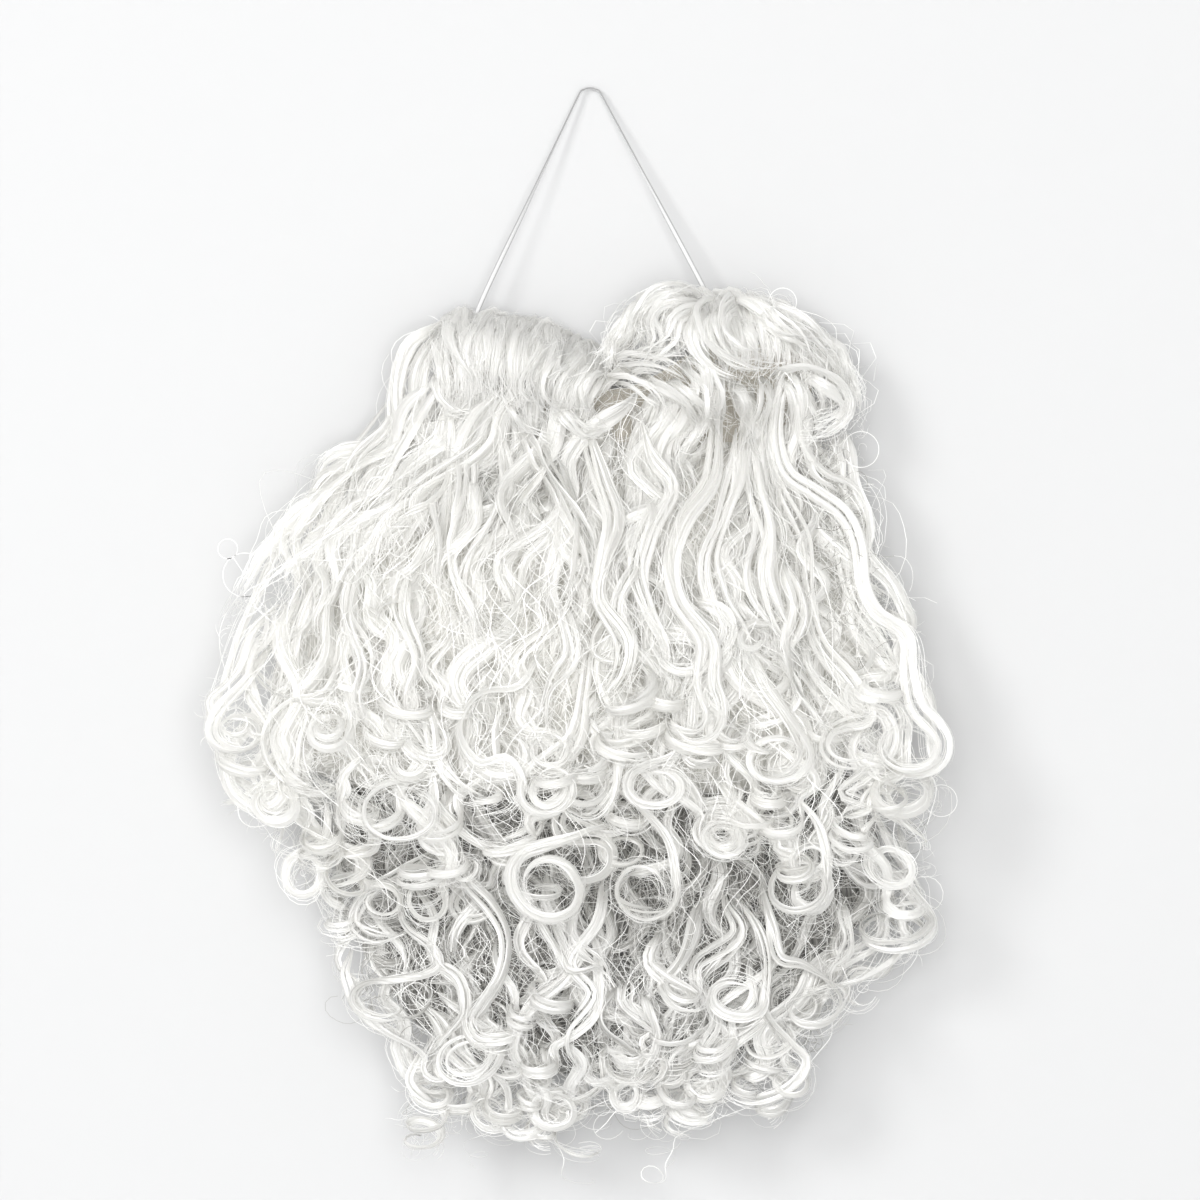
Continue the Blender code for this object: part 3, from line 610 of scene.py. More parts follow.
# Locks of the moustache's left side that stand out
LEFT_LIP = (
    Route(((450, 320), (452, 338), (464, 362), (476, 384), (480, 404)), 22, (4, 2)),
    Route(((484, 318), (472, 340), (474, 368), (470, 392)), 18, (4, 1)),
    Route(((556, 338), (538, 356), (528, 378), (530, 398), (548, 408)), 30, (7, 5)),
    Route(((574, 350), (556, 366), (546, 386), (552, 404), (574, 414)), 28, (7, 5)),
    Route(((606, 366), (590, 380), (578, 396), (584, 412), (604, 420)), 26, (7, 6)),
    Route(((505, 398), (520, 422), (540, 432), (556, 442)), 12, (5, 6)),
    Route(((556, 404), (572, 424), (592, 434), (612, 428)), 18, (6, 8)),
    Route(((436, 372), (440, 396), (456, 412), (470, 416)), 12, (3, 4)),
)
# Locks of the moustache's right side that stand out: a lobe, a swirl and a roll at its end
RIGHT_LIP = (
    Route(((704, 300), (678, 291), (652, 296), (636, 316), (636, 338), (622, 356), (600, 368)), 24,
          (3, 3)),
    Route(((706, 306), (684, 300), (662, 307), (652, 324), (654, 342), (640, 356), (620, 368)), 24,
          (7, 4)),
    Route(((704, 312), (688, 312), (674, 324), (672, 342), (656, 360), (634, 374)), 24, (9, 6)),
    Route(((708, 302), (696, 320), (694, 344), (706, 366), (730, 380), (756, 384)), 24, (8, 7)),
    Route(((716, 299), (706, 320), (710, 344), (726, 362), (754, 372), (784, 372)), 26, (10, 8)),
    Route(((738, 298), (722, 314), (724, 336), (742, 352), (770, 356)), 26, (12, 9)),
    Route(((730, 298), (754, 306), (780, 324), (800, 346), (814, 366)), 22, (8, 8)),
    Route(((752, 301), (764, 320), (782, 336), (806, 346), (826, 360)), 24, (9, 8)),
    Route(((744, 298), (776, 306), (804, 323), (826, 345), (842, 372), (848, 400)), 16, (2, 4)),
    Route(((770, 380), (784, 370), (808, 366), (834, 380), (848, 402), (842, 424), (822, 437),
          (798, 438)), 14, (10, 9)),
    Route(((846, 392), (838, 410), (820, 421), (798, 428)), 24, (6, 8)),
    Route(((800, 372), (826, 386), (842, 402), (838, 418), (812, 430)), 10, (11, 10)),
    Route(((626, 358), (652, 350), (682, 354), (704, 366)), 20, (6, 7)),
    Route(((612, 364), (644, 366), (672, 374), (694, 392)), 20, (6, 7)),
    Route(((600, 374), (630, 382), (656, 398), (672, 420)), 20, (6, 7)),
    Route(((640, 374), (668, 388), (690, 408), (704, 436)), 22, (6, 7)),
    Route(((694, 350), (708, 372), (712, 398), (704, 428)), 20, (7, 8)),
    Route(((668, 382), (690, 396), (706, 412), (730, 422)), 12, (8, 9)),
    Route(((728, 382), (744, 400), (748, 424), (738, 452)), 20, (6, 7)),
    Route(((760, 378), (766, 404), (758, 432), (764, 462)), 20, (5, 7)),
    Route(((780, 372), (794, 392), (798, 420), (788, 452)), 26, (1, 3)),
    Route(((800, 372), (814, 398), (814, 430), (802, 458)), 26, (0, 2)),
    Route(((684, 362), (696, 386), (692, 412), (700, 442)), 24, (2, 5)),
    Route(((716, 366), (722, 392), (714, 420), (722, 450)), 24, (2, 5)),
)
# Locks of the upper tier that stand out
UPPER = (
    Route(((444, 322), (412, 345), (400, 380), (404, 415), (426, 440), (430, 470), (414, 510),
          (402, 548)), 22, (-8, 6)),
    Route(((434, 326), (406, 356), (398, 395), (394, 430), (386, 470), (368, 508), (362, 548),
          (372, 590)), 24, (-10, 3)),
    Route(((440, 335), (422, 365), (418, 400), (426, 432), (438, 465), (432, 505), (412, 545),
          (400, 600)), 26, (-4, 6)),
    Route(((418, 345), (402, 385), (392, 420), (368, 446), (338, 452), (320, 466), (318, 492),
          (332, 520)), 14, (-10, 0)),
    Route(((402, 400), (386, 436), (360, 462), (350, 500), (352, 540), (338, 580), (330, 620)), 24,
          (-4, 3)),
    Route(((390, 400), (352, 452), (318, 500), (282, 548), (262, 590), (240, 640), (226, 690)), 14,
          (-8, 0), Curl(238, 716, 20, 0.9, 0.9, (0, 4), 0.3)),
    Route(((396, 440), (356, 500), (330, 560), (300, 620), (284, 690), (262, 740)), 18, (-4, 2)),
    Route(((446, 400), (452, 440), (452, 480), (444, 520), (440, 570), (448, 620)), 30, (0, 5)),
    Route(((470, 430), (466, 480), (455, 520), (452, 565), (470, 610), (478, 650)), 30, (2, 7)),
    Route(((500, 430), (506, 480), (494, 520), (474, 560), (470, 600), (488, 650)), 24, (4, 6)),
    Route(((520, 430), (548, 470), (566, 510), (584, 550), (590, 590)), 30, (5, 7)),
    Route(((540, 432), (566, 486), (580, 530), (576, 570), (560, 610), (552, 650)), 26, (5, 7)),
    Route(((585, 425), (602, 480), (614, 520), (604, 560), (600, 600), (624, 640), (620, 680),
          (594, 712)), 28, (5, 8)),
    Route(((640, 410), (650, 460), (668, 490), (650, 530), (640, 570), (652, 610), (668, 650),
          (660, 700)), 24, (4, 6)),
    Route(((716, 420), (710, 480), (684, 520), (672, 560), (680, 600), (706, 640), (704, 680)), 28,
          (6, 7), Curl(690, 712, 24, -0.8, 0.9, (4, 6), 0.3)),
    Route(((738, 430), (736, 480), (722, 520), (706, 560), (716, 600), (742, 640), (746, 690)), 30,
          (6, 7)),
    Route(((748, 430), (752, 480), (764, 530), (760, 580), (776, 620), (800, 660), (806, 700)), 30,
          (5, 7)),
    Route(((758, 430), (776, 490), (800, 540), (806, 590), (820, 640), (850, 680), (866, 715)), 26,
          (3, 5), Curl(850, 742, 26, 0.8, 0.8, (0, 8), 0.2)),
    Route(((790, 366), (778, 400), (775, 440), (786, 474), (812, 492), (842, 514), (856, 545), (860, 585),
          (874, 614), (902, 636), (904, 672), (912, 706)), 22, (6, 7), Curl(906, 745, 31, -1.1, 0.95,
          (0, 2), 0.35)),
    Route(((796, 390), (800, 440), (822, 472), (852, 486), (866, 512), (866, 545)), 7, (9, 4)),
    Route(((812, 430), (828, 500), (842, 556), (860, 612), (888, 660), (900, 706)), 20, (-4, 2)),
    Route(((352, 470), (330, 520), (306, 556), (300, 600), (284, 630), (256, 642)), 16, (-2, 3)),
    Route(((298, 560), (316, 588), (308, 622), (280, 640), (256, 641)), 16, (0, 3)),
    Route(((352, 650), (330, 690), (296, 704), (276, 732), (282, 764), (312, 788), (348, 790)), 18,
          (3, 6)),
    Route(((540, 650), (520, 684), (482, 694), (463, 728), (480, 762), (508, 756), (524, 780), (512, 808),
          (478, 820)), 16, (6, 9)),
    Route(((690, 600), (722, 612), (726, 640), (700, 668), (684, 700), (692, 730)), 18, (6, 8)),
    Route(((380, 640), (392, 690), (418, 730), (440, 770)), 15, (4, 7), Curl(404, 808, 37, 1.15, 0.9,
          (2, 3), 0.28)),
    Route(((700, 650), (694, 700), (682, 745)), 16, (4, 8), Curl(655, 784, 26, 1.2, 0.88, (2, 2), 0.25)),
    Route(((590, 640), (584, 690), (574, 740)), 16, (4, 8), Curl(550, 785, 22, 1.2, 0.95, (0, 0), 0.4)),
    Route(((620, 700), (622, 750), (616, 788), (590, 814), (562, 802)), 16, (4, 9)),
    Route(((744, 640), (760, 680), (780, 710)), 16, (4, 8), Curl(775, 756, 28, -1.2, 0.9, (0, 0), 0.4)),
    Route(((840, 660), (850, 700), (882, 712), (888, 742), (862, 772), (838, 790), (862, 802),
          (905, 818)), 16, (3, 5)),
    Route(((612, 824), (592, 826), (572, 834)), 13, (8, 12), Curl(546, 880, 38, 1.3, 0.86, (5, 3), 0.3)),
    Route(((610, 780), (646, 810), (668, 840)), 16, (5, 9), Curl(646, 884, 32, -1.1, 0.85, (-4, 6), 0.3)),
    Route(((790, 790), (816, 818), (826, 850)), 14, (5, 9), Curl(796, 880, 32, -1.15, 0.78, (2, 4),
          0.22)),
    Route(((276, 640), (250, 680), (226, 706)), 14, (0, 4), Curl(240, 730, 22, 1.3, 0.9, (2, 0), 0.4)),
    Route(((224, 803), (244, 797), (262, 784)), 8, (0, 3), Curl(276, 800, 24, -1.2, 0.8, (2, 2), 0.3)),
    Route(((318, 690), (300, 740), (300, 790), (312, 812)), 16, (1, 5), Curl(320, 838, 15, 1.6, 0.45,
          (-4, 16), 0.1)),
    Route(((330, 800), (326, 836)), 12, (2, 6), Curl(306, 872, 20, 1.3, 0.95, (0, 0), 0.3)),
    Route(((430, 700), (440, 760), (470, 790), (500, 800)), 18, (5, 8)),
    Route(((560, 600), (572, 650), (552, 690), (540, 740)), 20, (5, 8)),
    Route(((640, 560), (620, 600), (632, 650), (622, 690)), 20, (6, 8)),
    Route(((780, 560), (796, 610), (782, 650), (800, 700), (830, 730)), 22, (5, 8)),
    Route(((410, 560), (404, 610), (420, 660), (410, 700), (430, 740)), 24, (5, 7)),
    Route(((360, 560), (350, 610), (366, 660), (360, 700), (380, 740)), 24, (3, 6)),
)
# Locks of the lower tier that stand out
LOWER = (
    Route(((452, 820), (462, 870), (490, 905), (504, 935), (500, 970), (482, 1000), (474, 1016)), 20,
          (8, 12), Curl(468, 1050, 30, -1.5, 0.85, (2, 4), 0.5)),
    Route(((438, 850), (400, 872), (372, 890), (356, 920), (378, 936), (420, 930)), 18, (6, 9)),
    Route(((400, 870), (404, 920), (432, 944), (440, 962), (420, 974)), 18, (6, 9), Curl(384, 994, 26,
          0.9, 0.6, (-4, 12), 0.2)),
    Route(((484, 896), (456, 930), (455, 960), (480, 984)), 14, (6, 11)),
    Route(((548, 905), (560, 935), (568, 968), (530, 1008), (514, 1050), (540, 1080), (590, 1100)), 14,
          (9, 11)),
    Route(((576, 900), (572, 940), (600, 960), (612, 986)), 14, (9, 11)),
    Route(((604, 880), (598, 920), (572, 960), (594, 990), (568, 1030), (576, 1060), (612, 1086)), 14,
          (9, 11)),
    Route(((536, 912), (552, 940), (568, 968), (600, 962), (614, 984)), 10, (10, 12)),
    Route(((660, 930), (650, 960), (690, 985), (700, 1010), (676, 1030)), 18, (8, 11)),
    Route(((700, 900), (686, 930), (676, 956)), 22, (7, 11), Curl(684, 984, 20, 1.0, 0.6, (0, 12), 0.2)),
    Route(((740, 900), (760, 930), (768, 960)), 14, (8, 10), Curl(736, 994, 27, -1.1, 0.85, (2, 3),
          0.25)),
    Route(((760, 880), (770, 920), (778, 955), (804, 964)), 16, (8, 11), Curl(814, 1000, 28, -1.3, 0.65,
          (0, 9), 0.2)),
    Route(((775, 955), (762, 1000), (790, 1040), (804, 1060), (784, 1088), (752, 1100), (726, 1090),
          (712, 1062)), 14, (6, 10)),
    Route(((840, 840), (850, 870), (880, 876), (930, 864)), 18, (5, 6)),
    Route(((850, 830), (872, 860), (900, 880)), 18, (5, 8), Curl(894, 922, 32, -1.3, 0.62, (0, 10), 0.2)),
    Route(((870, 800), (890, 840), (914, 880), (926, 910)), 16, (2, 5)),
    Route(((712, 1034), (674, 1052), (672, 1074), (700, 1080)), 10, (8, 10)),
    Route(((606, 1044), (626, 1056), (652, 1060)), 12, (8, 10)),
    Route(((600, 1070), (618, 1098), (632, 1112), (644, 1110), (646, 1122), (660, 1130)), 8, (6, 8)),
    Route(((430, 1040), (418, 1060), (412, 1082)), 14, (6, 9), Curl(428, 1112, 16, -2.2, 0.5, (-2, 16),
          0.05)),
    Route(((480, 1060), (504, 1080), (510, 1094)), 12, (6, 9), Curl(490, 1110, 19, -1.2, 0.9, (0, 0),
          0.3)),
    Route(((530, 1070), (546, 1090), (546, 1106)), 12, (6, 9), Curl(524, 1116, 20, -1.2, 0.85, (0, 2),
          0.3)),
    Route(((340, 850), (322, 880), (330, 900)), 12, (3, 6), Curl(340, 914, 13, -1.8, 0.5, (4, 14), 0.1)),
    Route(((352, 930), (340, 960), (360, 984), (354, 1002), (380, 1026)), 12, (3, 6)),
    Route(((430, 960), (458, 975), (468, 1010), (440, 1040), (420, 1060)), 16, (7, 10)),
    Route(((640, 990), (656, 1030), (640, 1070), (612, 1085)), 14, (7, 10)),
    Route(((700, 980), (716, 1020), (700, 1050), (716, 1080)), 14, (6, 9)),
    Route(((840, 900), (848, 940), (830, 975), (840, 1000)), 16, (5, 8)),
)

# Beds of seeded locks that fill in under and between those
BEDS = (
    Bed("upper", 50, (-0.95, 0.95), (360, 440), (110, 230), 0.2, (10, 24), (90, 150), (14, 24),
          (0.8, 1.3), (18, 38), (-6, 3), 0.0),
    Bed("upper", 52, (-0.98, 0.98), (470, 630), (80, 180), 0.26, (10, 24), (80, 120), (14, 30),
          (0.6, 1.3), (14, 30), (-7, 3), 0.5),
    Bed("upper", 50, (-0.98, 0.98), (590, 750), (60, 140), 0.2, (9, 18), (65, 105), (13, 26), (0.6, 1.4),
          (9, 18), (-6, 4), 0.65),
    Bed("upper", 26, (-0.92, 0.92), (735, 815), (30, 80), 0.25, (6, 12), (50, 80), (14, 28), (0.8, 1.6),
          (9, 17), (-2, 6), 0.95),
    Bed("lower", 36, (-0.95, 0.95), (740, 880), (80, 200), 0.2, (10, 20), (70, 110), (13, 26), (0.6, 1.4),
          (8, 17), (-8, 1), 0.6),
    Bed("lower", 30, (-0.95, 0.95), (870, 1010), (60, 130), 0.22, (9, 16), (60, 95), (12, 24), (0.7, 1.6),
          (10, 18), (-2, 8), 0.8),
    Bed("lower", 22, (-0.92, 0.92), (985, 1045), (40, 75), 0.25, (6, 12), (50, 80), (10, 20), (0.8, 1.8),
          (8, 14), (-2, 5), 0.95),
)
BED_LOOKS = (SOFT, SOFT, SATIN, SATIN, UNDER, SATIN, SATIN)

# Single fibres over the locks
VEILS = (
    Bed("upper", 260, (-0.98, 0.98), (340, 740), (60, 220), 0.25, (6, 20), (55, 140), (7, 17), (0.5, 1.2),
          (1, 1), (2, 8), 0.3),
    Bed("lower", 160, (-0.95, 0.95), (760, 1010), (50, 170), 0.25, (7, 18), (50, 110), (7, 18),
          (0.6, 1.6), (1, 1), (0, 8), 0.5),
)

# Flyaway loops that stand out in the photograph: middle, radius and where the fibre comes from
Loop = namedtuple("Loop", "x y radius from_x from_y")
LOOPS = (
    Loop(782, 303, 14, 792, 330),
    Loop(229, 549, 10, 262, 600),
    Loop(940, 800, 16, 900, 790),
    Loop(860, 450, 18, 830, 470),
    Loop(246, 575, 22, 276, 640),
)


# Nets of fibre in the tiers, with their region in pixels. The lower tier's net and the last three are
# dark with painted shade, and the last three fill dark gaps between the locks. tones, reach and lift
# are the lowest and highest value. reach is a little under half a fibre's length in pixels, and lift is in
# millimetres.
Web = namedtuple("Web", "tier left top right bottom count tones reach lift", defaults=((14, 46), (-9, 3)))
WEBS = (
    Web("upper", 240, 400, 930, 800, 1300, (-0.35, 0.4)),
    Web("lower", 260, 760, 940, 1120, 2600, (-0.95, 0.0)),
    Web("upper", 802, 436, 846, 500, 90, (-0.9, -0.3), (8, 22), (-3, 4)),
    Web("upper", 814, 504, 862, 580, 110, (-0.9, -0.3), (8, 22), (-3, 4)),
    Web("upper", 834, 584, 870, 640, 50, (-0.9, -0.3), (8, 22), (-3, 4)),
)


def add_web(piece, web, depths, rng):
    """Fine fibres that curve every way inside a region of the tier."""
    made = 0
    tries = 0
    while made < web.count and tries < web.count * 6:
        tries += 1
        x = rng.uniform(web.left, web.right)
        y = rng.uniform(web.top, web.bottom)
        if not inside(depths, x, y):
            continue
        n = int(rng.integers(9, 15))
        heading = rng.uniform(0, 2 * pi) + np.cumsum(wander(rng, n, 0.28, 3) + rng.normal(0, 0.16))
        step = rng.uniform(*web.reach) * 2.2 / n
        px = x + np.cumsum(np.cos(heading)) * step
        py = y + np.cumsum(np.sin(heading)) * step
        if not inside(depths, px[-1], py[-1]):
            continue
        xs, zs = hair_x(px), hair_z(py)
        level = depths.at(xs, zs) + (rng.uniform(*web.lift) + wander(rng, n, 2.4, 3)) * MM
        points = np.stack((xs, np.maximum(level, NET_LEAST_DEPTH), zs), axis=1)
        add_fibre(piece, points, np.full(n, FIBRE_WIDTH * 0.8 * rng.uniform(0.6, 1.2)),
                  rng.uniform(*web.tones), rng.uniform(0, STREAKS))
        made += 1


def add_veil(piece, bed, depths, rng):
    """Single fibres that cross the locks on their way down."""
    for route in seeded_routes(bed, rng):
        points, faces = lock_line(route, depths, VEIL_ROOT)
        _, _, broad = axes_along(points, faces)
        width = np.full(len(points), FIBRE_WIDTH * rng.uniform(0.5, 1.2))
        add_ribbon(piece, points, broad, width, rng.uniform(-0.1, 0.5), rng.uniform(0, STREAKS))


def inside(depths, px, py):
    """True where the frame's hair is behind this pixel."""
    c = int(round(np.interp(hair_x(px), depths.x, np.arange(DEPTH_COLUMNS))))
    r = int(round(np.interp(hair_z(py), depths.z, np.arange(DEPTH_ROWS))))
    return bool(depths.solid[r, c])


def add_flyaway(piece, x, y, heading, length, bend, depth, rng, width):
    """One loose fibre from a pixel, on a heading that bends as it goes, where it has room."""
    n = FLYAWAY_POINTS
    turn = np.linspace(0.0, 1.0, n)
    way = heading + bend * turn + wander(rng, n, 0.22, 3)
    px = x + np.cumsum(np.cos(way)) * length / n
    py = y + np.cumsum(np.sin(way)) * length / n
    level = depth + wander(rng, n, 3.0, 2) * MM
    points = np.stack((hair_x(px), np.maximum(level, FLYAWAY_LEAST_DEPTH), hair_z(py)), axis=1)
    if (points.min(axis=0) < piece.low - ROOM).any() or (points.max(axis=0) > piece.high + ROOM).any():
        return
    fade = width * np.clip((1.0 - turn) * 4.0, 0.35, 1.0)
    add_fibre(piece, points, fade, rng.uniform(0.1, 0.5), rng.uniform(0, STREAKS))


# The hair's outline in pixels, clockwise from the moustache's left end
OUTLINE = (
    (440, 318), (500, 316), (570, 342), (612, 362), (640, 322), (700, 292), (780, 310), (835, 345),
    (862, 400), (862, 470), (880, 560), (908, 620), (930, 700), (945, 790), (930, 870), (925, 950),
    (860, 985), (820, 1045), (780, 1098), (680, 1090), (560, 1105), (470, 1125), (410, 1150), (400, 1040),
    (335, 960), (300, 870), (228, 800), (206, 715), (225, 620), (290, 520), (330, 465), (390, 440),
    (398, 380),
)


MIDDLE = (580.0, 720.0)     # a pixel in the middle of the hair, which flyaway fibres point from
HEAD_END = 420              # above this pixel row they are a little shorter
FLYAWAYS = 700
FLYAWAY_POINTS = 16
LOOP_TURNS = 1.1
LOOP_POINTS = 30
LOOP_DEPTH = 0.030
LOOP_STEP = 0.0015


def add_halo(piece, depths, rng):
    """Flyaway fibres all round the outline."""
    edge = np.array(OUTLINE + OUTLINE[:1], dtype=float)
    step = np.linalg.norm(np.diff(edge, axis=0), axis=1)
    lengths = np.concatenate(([0.0], np.cumsum(step)))
    for _ in range(FLYAWAYS):
        at = rng.uniform(0.0, lengths[-1])
        x = np.interp(at, lengths, edge[:, 0])
        y = np.interp(at, lengths, edge[:, 1])
        outward = np.arctan2(y - MIDDLE[1], x - MIDDLE[0])
        heading = outward + rng.normal(0.0, 0.9)
        length = rng.uniform(8, 22 if y < HEAD_END else 26)
        x -= np.cos(outward) * rng.uniform(4, 22)
        y -= np.sin(outward) * rng.uniform(4, 22)
        depth = depths.at(np.array([hair_x(x)]), np.array([hair_z(y)]))[0] * rng.uniform(0.45, 0.95)
        add_flyaway(piece, x, y, heading, length, rng.normal(0.0, 3.0), depth, rng,
                    FIBRE_WIDTH * rng.uniform(0.35, 0.65))


def evened(values):
    """Values smoothed along their length."""
    padded = np.pad(values, 2, mode="edge")
    return np.convolve(padded, np.full(5, 0.2), mode="valid")


def packed_hair(packed, depths):
    """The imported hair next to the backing: a smooth lens a little behind the locks."""
    filled = np.flatnonzero(depths.solid.any(axis=1))
    left = evened(np.array([depths.x[np.flatnonzero(depths.solid[r])[0]] for r in filled]))
    right = evened(np.array([depths.x[np.flatnonzero(depths.solid[r])[-1]] for r in filled]))
    z = np.linspace(max(depths.z[filled[0]] + PACKED_INSET, hair_z(packed.bottom)),
                    min(depths.z[filled[-1]], hair_z(packed.top)), PACKED_ROWS)
    middle = np.interp(z, depths.z[filled], (left + right) / 2)
    half = np.interp(z, depths.z[filled], (right - left) / 2) - PACKED_INSET
    height = np.linspace(-1.0, 1.0, PACKED_ROWS)
    half = half * (1.0 - 0.35 * np.abs(height) ** 8)
    across = np.sin(np.linspace(-pi / 2, pi / 2, PACKED_COLUMNS))
    x = middle[:, None] + half[:, None] * across[None, :]
    z = np.repeat(z[:, None], PACKED_COLUMNS, axis=1)
    swell = np.sqrt((1.0 - across[None, :] ** 8) * (1.0 - height[:, None] ** 10)).clip(0.0, 1.0)
    back = packed.back
    front = back + np.maximum(depths.at(x, z) - packed.behind - back, PACKED_LEAST) * swell
    piece = Piece(f"{packed.tier}_packed_hair")
    for depth, shade in ((front, 0.0), (np.full_like(front, back), 1.0)):
        piece.add_grid(np.stack((x, depth, z), axis=2), False, (0.0, 40.0), shade)
    return worn(piece.made(packed_material(piece.name, packed.deep, packed.light)))


class Kit:
    """A new material's nodes, each added with its settings and with what its sockets get."""

    # Places of the sockets of a mix of two colours
    MIX_SHARE, MIX_FIRST, MIX_SECOND, MIX_RESULT = 0, 6, 7, 2

    def __init__(self, name):
        self.made = bpy.data.materials.new(name)
        self.made.use_nodes = True
        self.nodes, self.links = self.made.node_tree.nodes, self.made.node_tree.links
        self.shader = self.nodes["Principled BSDF"]

    def feed(self, node, sockets):
        """Gives a node's sockets their values, or the outputs that they are linked to."""
        for key, value in sockets.items():
            if isinstance(value, bpy.types.NodeSocket):
                self.links.new(value, node.inputs[key])
            else:
                node.inputs[key].default_value = value

    def add(self, kind, sockets=None, **settings):
        node = self.nodes.new("ShaderNode" + kind)
        for key, value in settings.items():
            setattr(node, key, value)
        self.feed(node, sockets or {})
        return node

    def ramp(self, share, first, last, between=()):
        """A colour for a share, from stops that each have a place and a colour."""
        node = self.add("ValToRGB", {"Fac": share})
        for element, (place, colour) in zip(node.color_ramp.elements, (first, last)):
            element.position = place
            element.color = colour
        for place, colour in between:
            node.color_ramp.elements.new(place).color = colour
        return node.outputs["Color"]

    def tone(self):
        return self.add("Attribute", attribute_name="tone").outputs["Fac"]

    def mix(self, share, first, second):
        sockets = {self.MIX_SHARE: share, self.MIX_FIRST: first, self.MIX_SECOND: second}
        return self.add("Mix", sockets, data_type="RGBA").outputs[self.MIX_RESULT]

    def ribs(self, axis, scale, distortion):
        """Waves along an axis of the object."""
        place = self.add("TexCoord").outputs["Object"]
        sockets = {"Vector": place, "Scale": scale, "Distortion": distortion}
        return self.add("TexWave", sockets, bands_direction=axis).outputs["Fac"]

    def bump(self, height, strength, distance):
        node = self.add("Bump", {"Height": height, "Strength": strength, "Distance": distance})
        self.feed(self.shader, {"Normal": node.outputs["Normal"]})

    def surface(self, share, first, second):
        """A mix of two shaders as the material's surface."""
        node = self.add("MixShader", {"Fac": share, 1: first, 2: second})
        self.links.new(node.outputs["Shader"], self.nodes["Material Output"].inputs["Surface"])


def darker(colour, share):
    return tuple(share * c for c in colour[:3]) + (1.0,)


def hair_material(name, light, shade, deep, through):
    """Satin false hair: fine streaks along each strand, and a gloss that runs across it."""
    kit = Kit(name)
    mark = kit.add("UVMap", uv_map="strand").outputs["UV"]
    place = kit.add("Mapping", {"Scale": (14.0, 2.4, 1.0), "Vector": mark}).outputs["Vector"]
    streak = kit.add("TexNoise", {"Scale": 1.0, "Detail": 3.0, "Vector": place}).outputs["Fac"]
    # A strand's colour comes from its streaks and its tone attribute, which holds random lightness, painted
    # shade and painted light
    both = kit.add("Math", {0: streak, 1: 1.6, 2: kit.tone()}, operation="MULTIPLY_ADD")
    colour = kit.ramp(both.outputs["Value"], (0.0, deep), (1.0, light), ((0.5, shade),))
    tangent = kit.add("Tangent", direction_type="UV_MAP", uv_map="strand").outputs["Tangent"]
    kit.feed(kit.shader, {"Base Color": colour, "Roughness": 0.36, "Metallic": 0.35, "Anisotropic": 0.85,
                          "Specular IOR Level": 0.6, "Tangent": tangent})
    kit.bump(streak, 0.25, 0.0003)
    glow = kit.add("BsdfTranslucent", {"Color": colour})
    kit.surface(through, kit.shader.outputs["BSDF"], glow.outputs["BSDF"])
    return kit.made


def packed_material(name, deep, light):
    """Packed hair behind the locks, seen as fine uneven lines that run down it, its front dark with painted
    shade.
    """
    kit = Kit(name)
    place = kit.add("TexCoord").outputs["Object"]
    bend = kit.add("TexNoise", {"Scale": 28.0, "Vector": place}).outputs["Color"]
    shift = kit.add("VectorMath", {0: bend, 1: (0.03, 0.03, 0.03), 2: place}, operation="MULTIPLY_ADD")
    stretch = kit.add("Mapping", {"Scale": (900.0, 200.0, 70.0), "Vector": shift.outputs["Vector"]})
    lines = kit.add("TexNoise", {"Scale": 1.0, "Detail": 2.0, "Vector": stretch.outputs["Vector"]})
    front = kit.ramp(lines.outputs["Fac"], (0.38, deep), (0.66, light))
    back = kit.ramp(lines.outputs["Fac"], (0.35, darker(PACKED_BACK, 0.6)), (0.65, PACKED_BACK))
    kit.feed(kit.shader, {"Base Color": kit.mix(kit.tone(), front, back), "Roughness": 0.6})
    return kit.made


def cloth_material():
    """Plain cotton weave."""
    kit = Kit("backing_cloth")
    weave = kit.add("Math", {0: kit.ribs("X", 420.0, 1.2), 1: kit.ribs("Z", 420.0, 1.2)},
                    operation="MULTIPLY").outputs["Value"]
    colour = kit.ramp(weave, (0.0, darker(CLOTH_COLOUR, 0.8)), (1.0, CLOTH_COLOUR))
    kit.feed(kit.shader, {"Base Color": colour, "Roughness": 0.9})
    kit.bump(weave, 0.6, 0.0004)
    return kit.made


def elastic_material():
    """Braided white elastic, with ribs across it and painted shade on its edges."""
    kit = Kit("white_elastic")
    ribs = kit.ribs("Z", 520.0, 1.0)
    colour = kit.ramp(ribs, (0.0, darker(ELASTIC_COLOUR, 0.85)), (1.0, ELASTIC_COLOUR))
    kit.feed(kit.shader, {"Base Color": kit.mix(kit.tone(), ELASTIC_EDGE_SHADE, colour), "Roughness": 0.55})
    kit.bump(ribs, 0.5, 0.0002)
    return kit.made


def wall_material():
    """Matte white paint, seen only from its front."""
    kit = Kit("white_wall")
    kit.feed(kit.shader, {"Base Color": WALL_COLOUR, "Roughness": 0.9})
    side = kit.add("NewGeometry").outputs["Backfacing"]
    clear = kit.add("BsdfTransparent").outputs["BSDF"]
    kit.surface(side, kit.shader.outputs["BSDF"], clear)
    return kit.made


STRAP_WIDTH = 0.0020
STRAP_THICK = 0.0009
STRAP_STEP = 0.0009         # length between two of its sections
STRAP_SEWN = -0.112         # below this height it is sewn on
# Corners of its section, as shares of its half width and half thickness
STRAP_SECTION = (
    (-1.0, -0.4), (-0.5, -1.0), (0.5, -1.0), (1.0, -0.4),
    (1.0, 0.4), (0.5, 1.0), (-0.5, 1.0), (-1.0, 0.4),
)
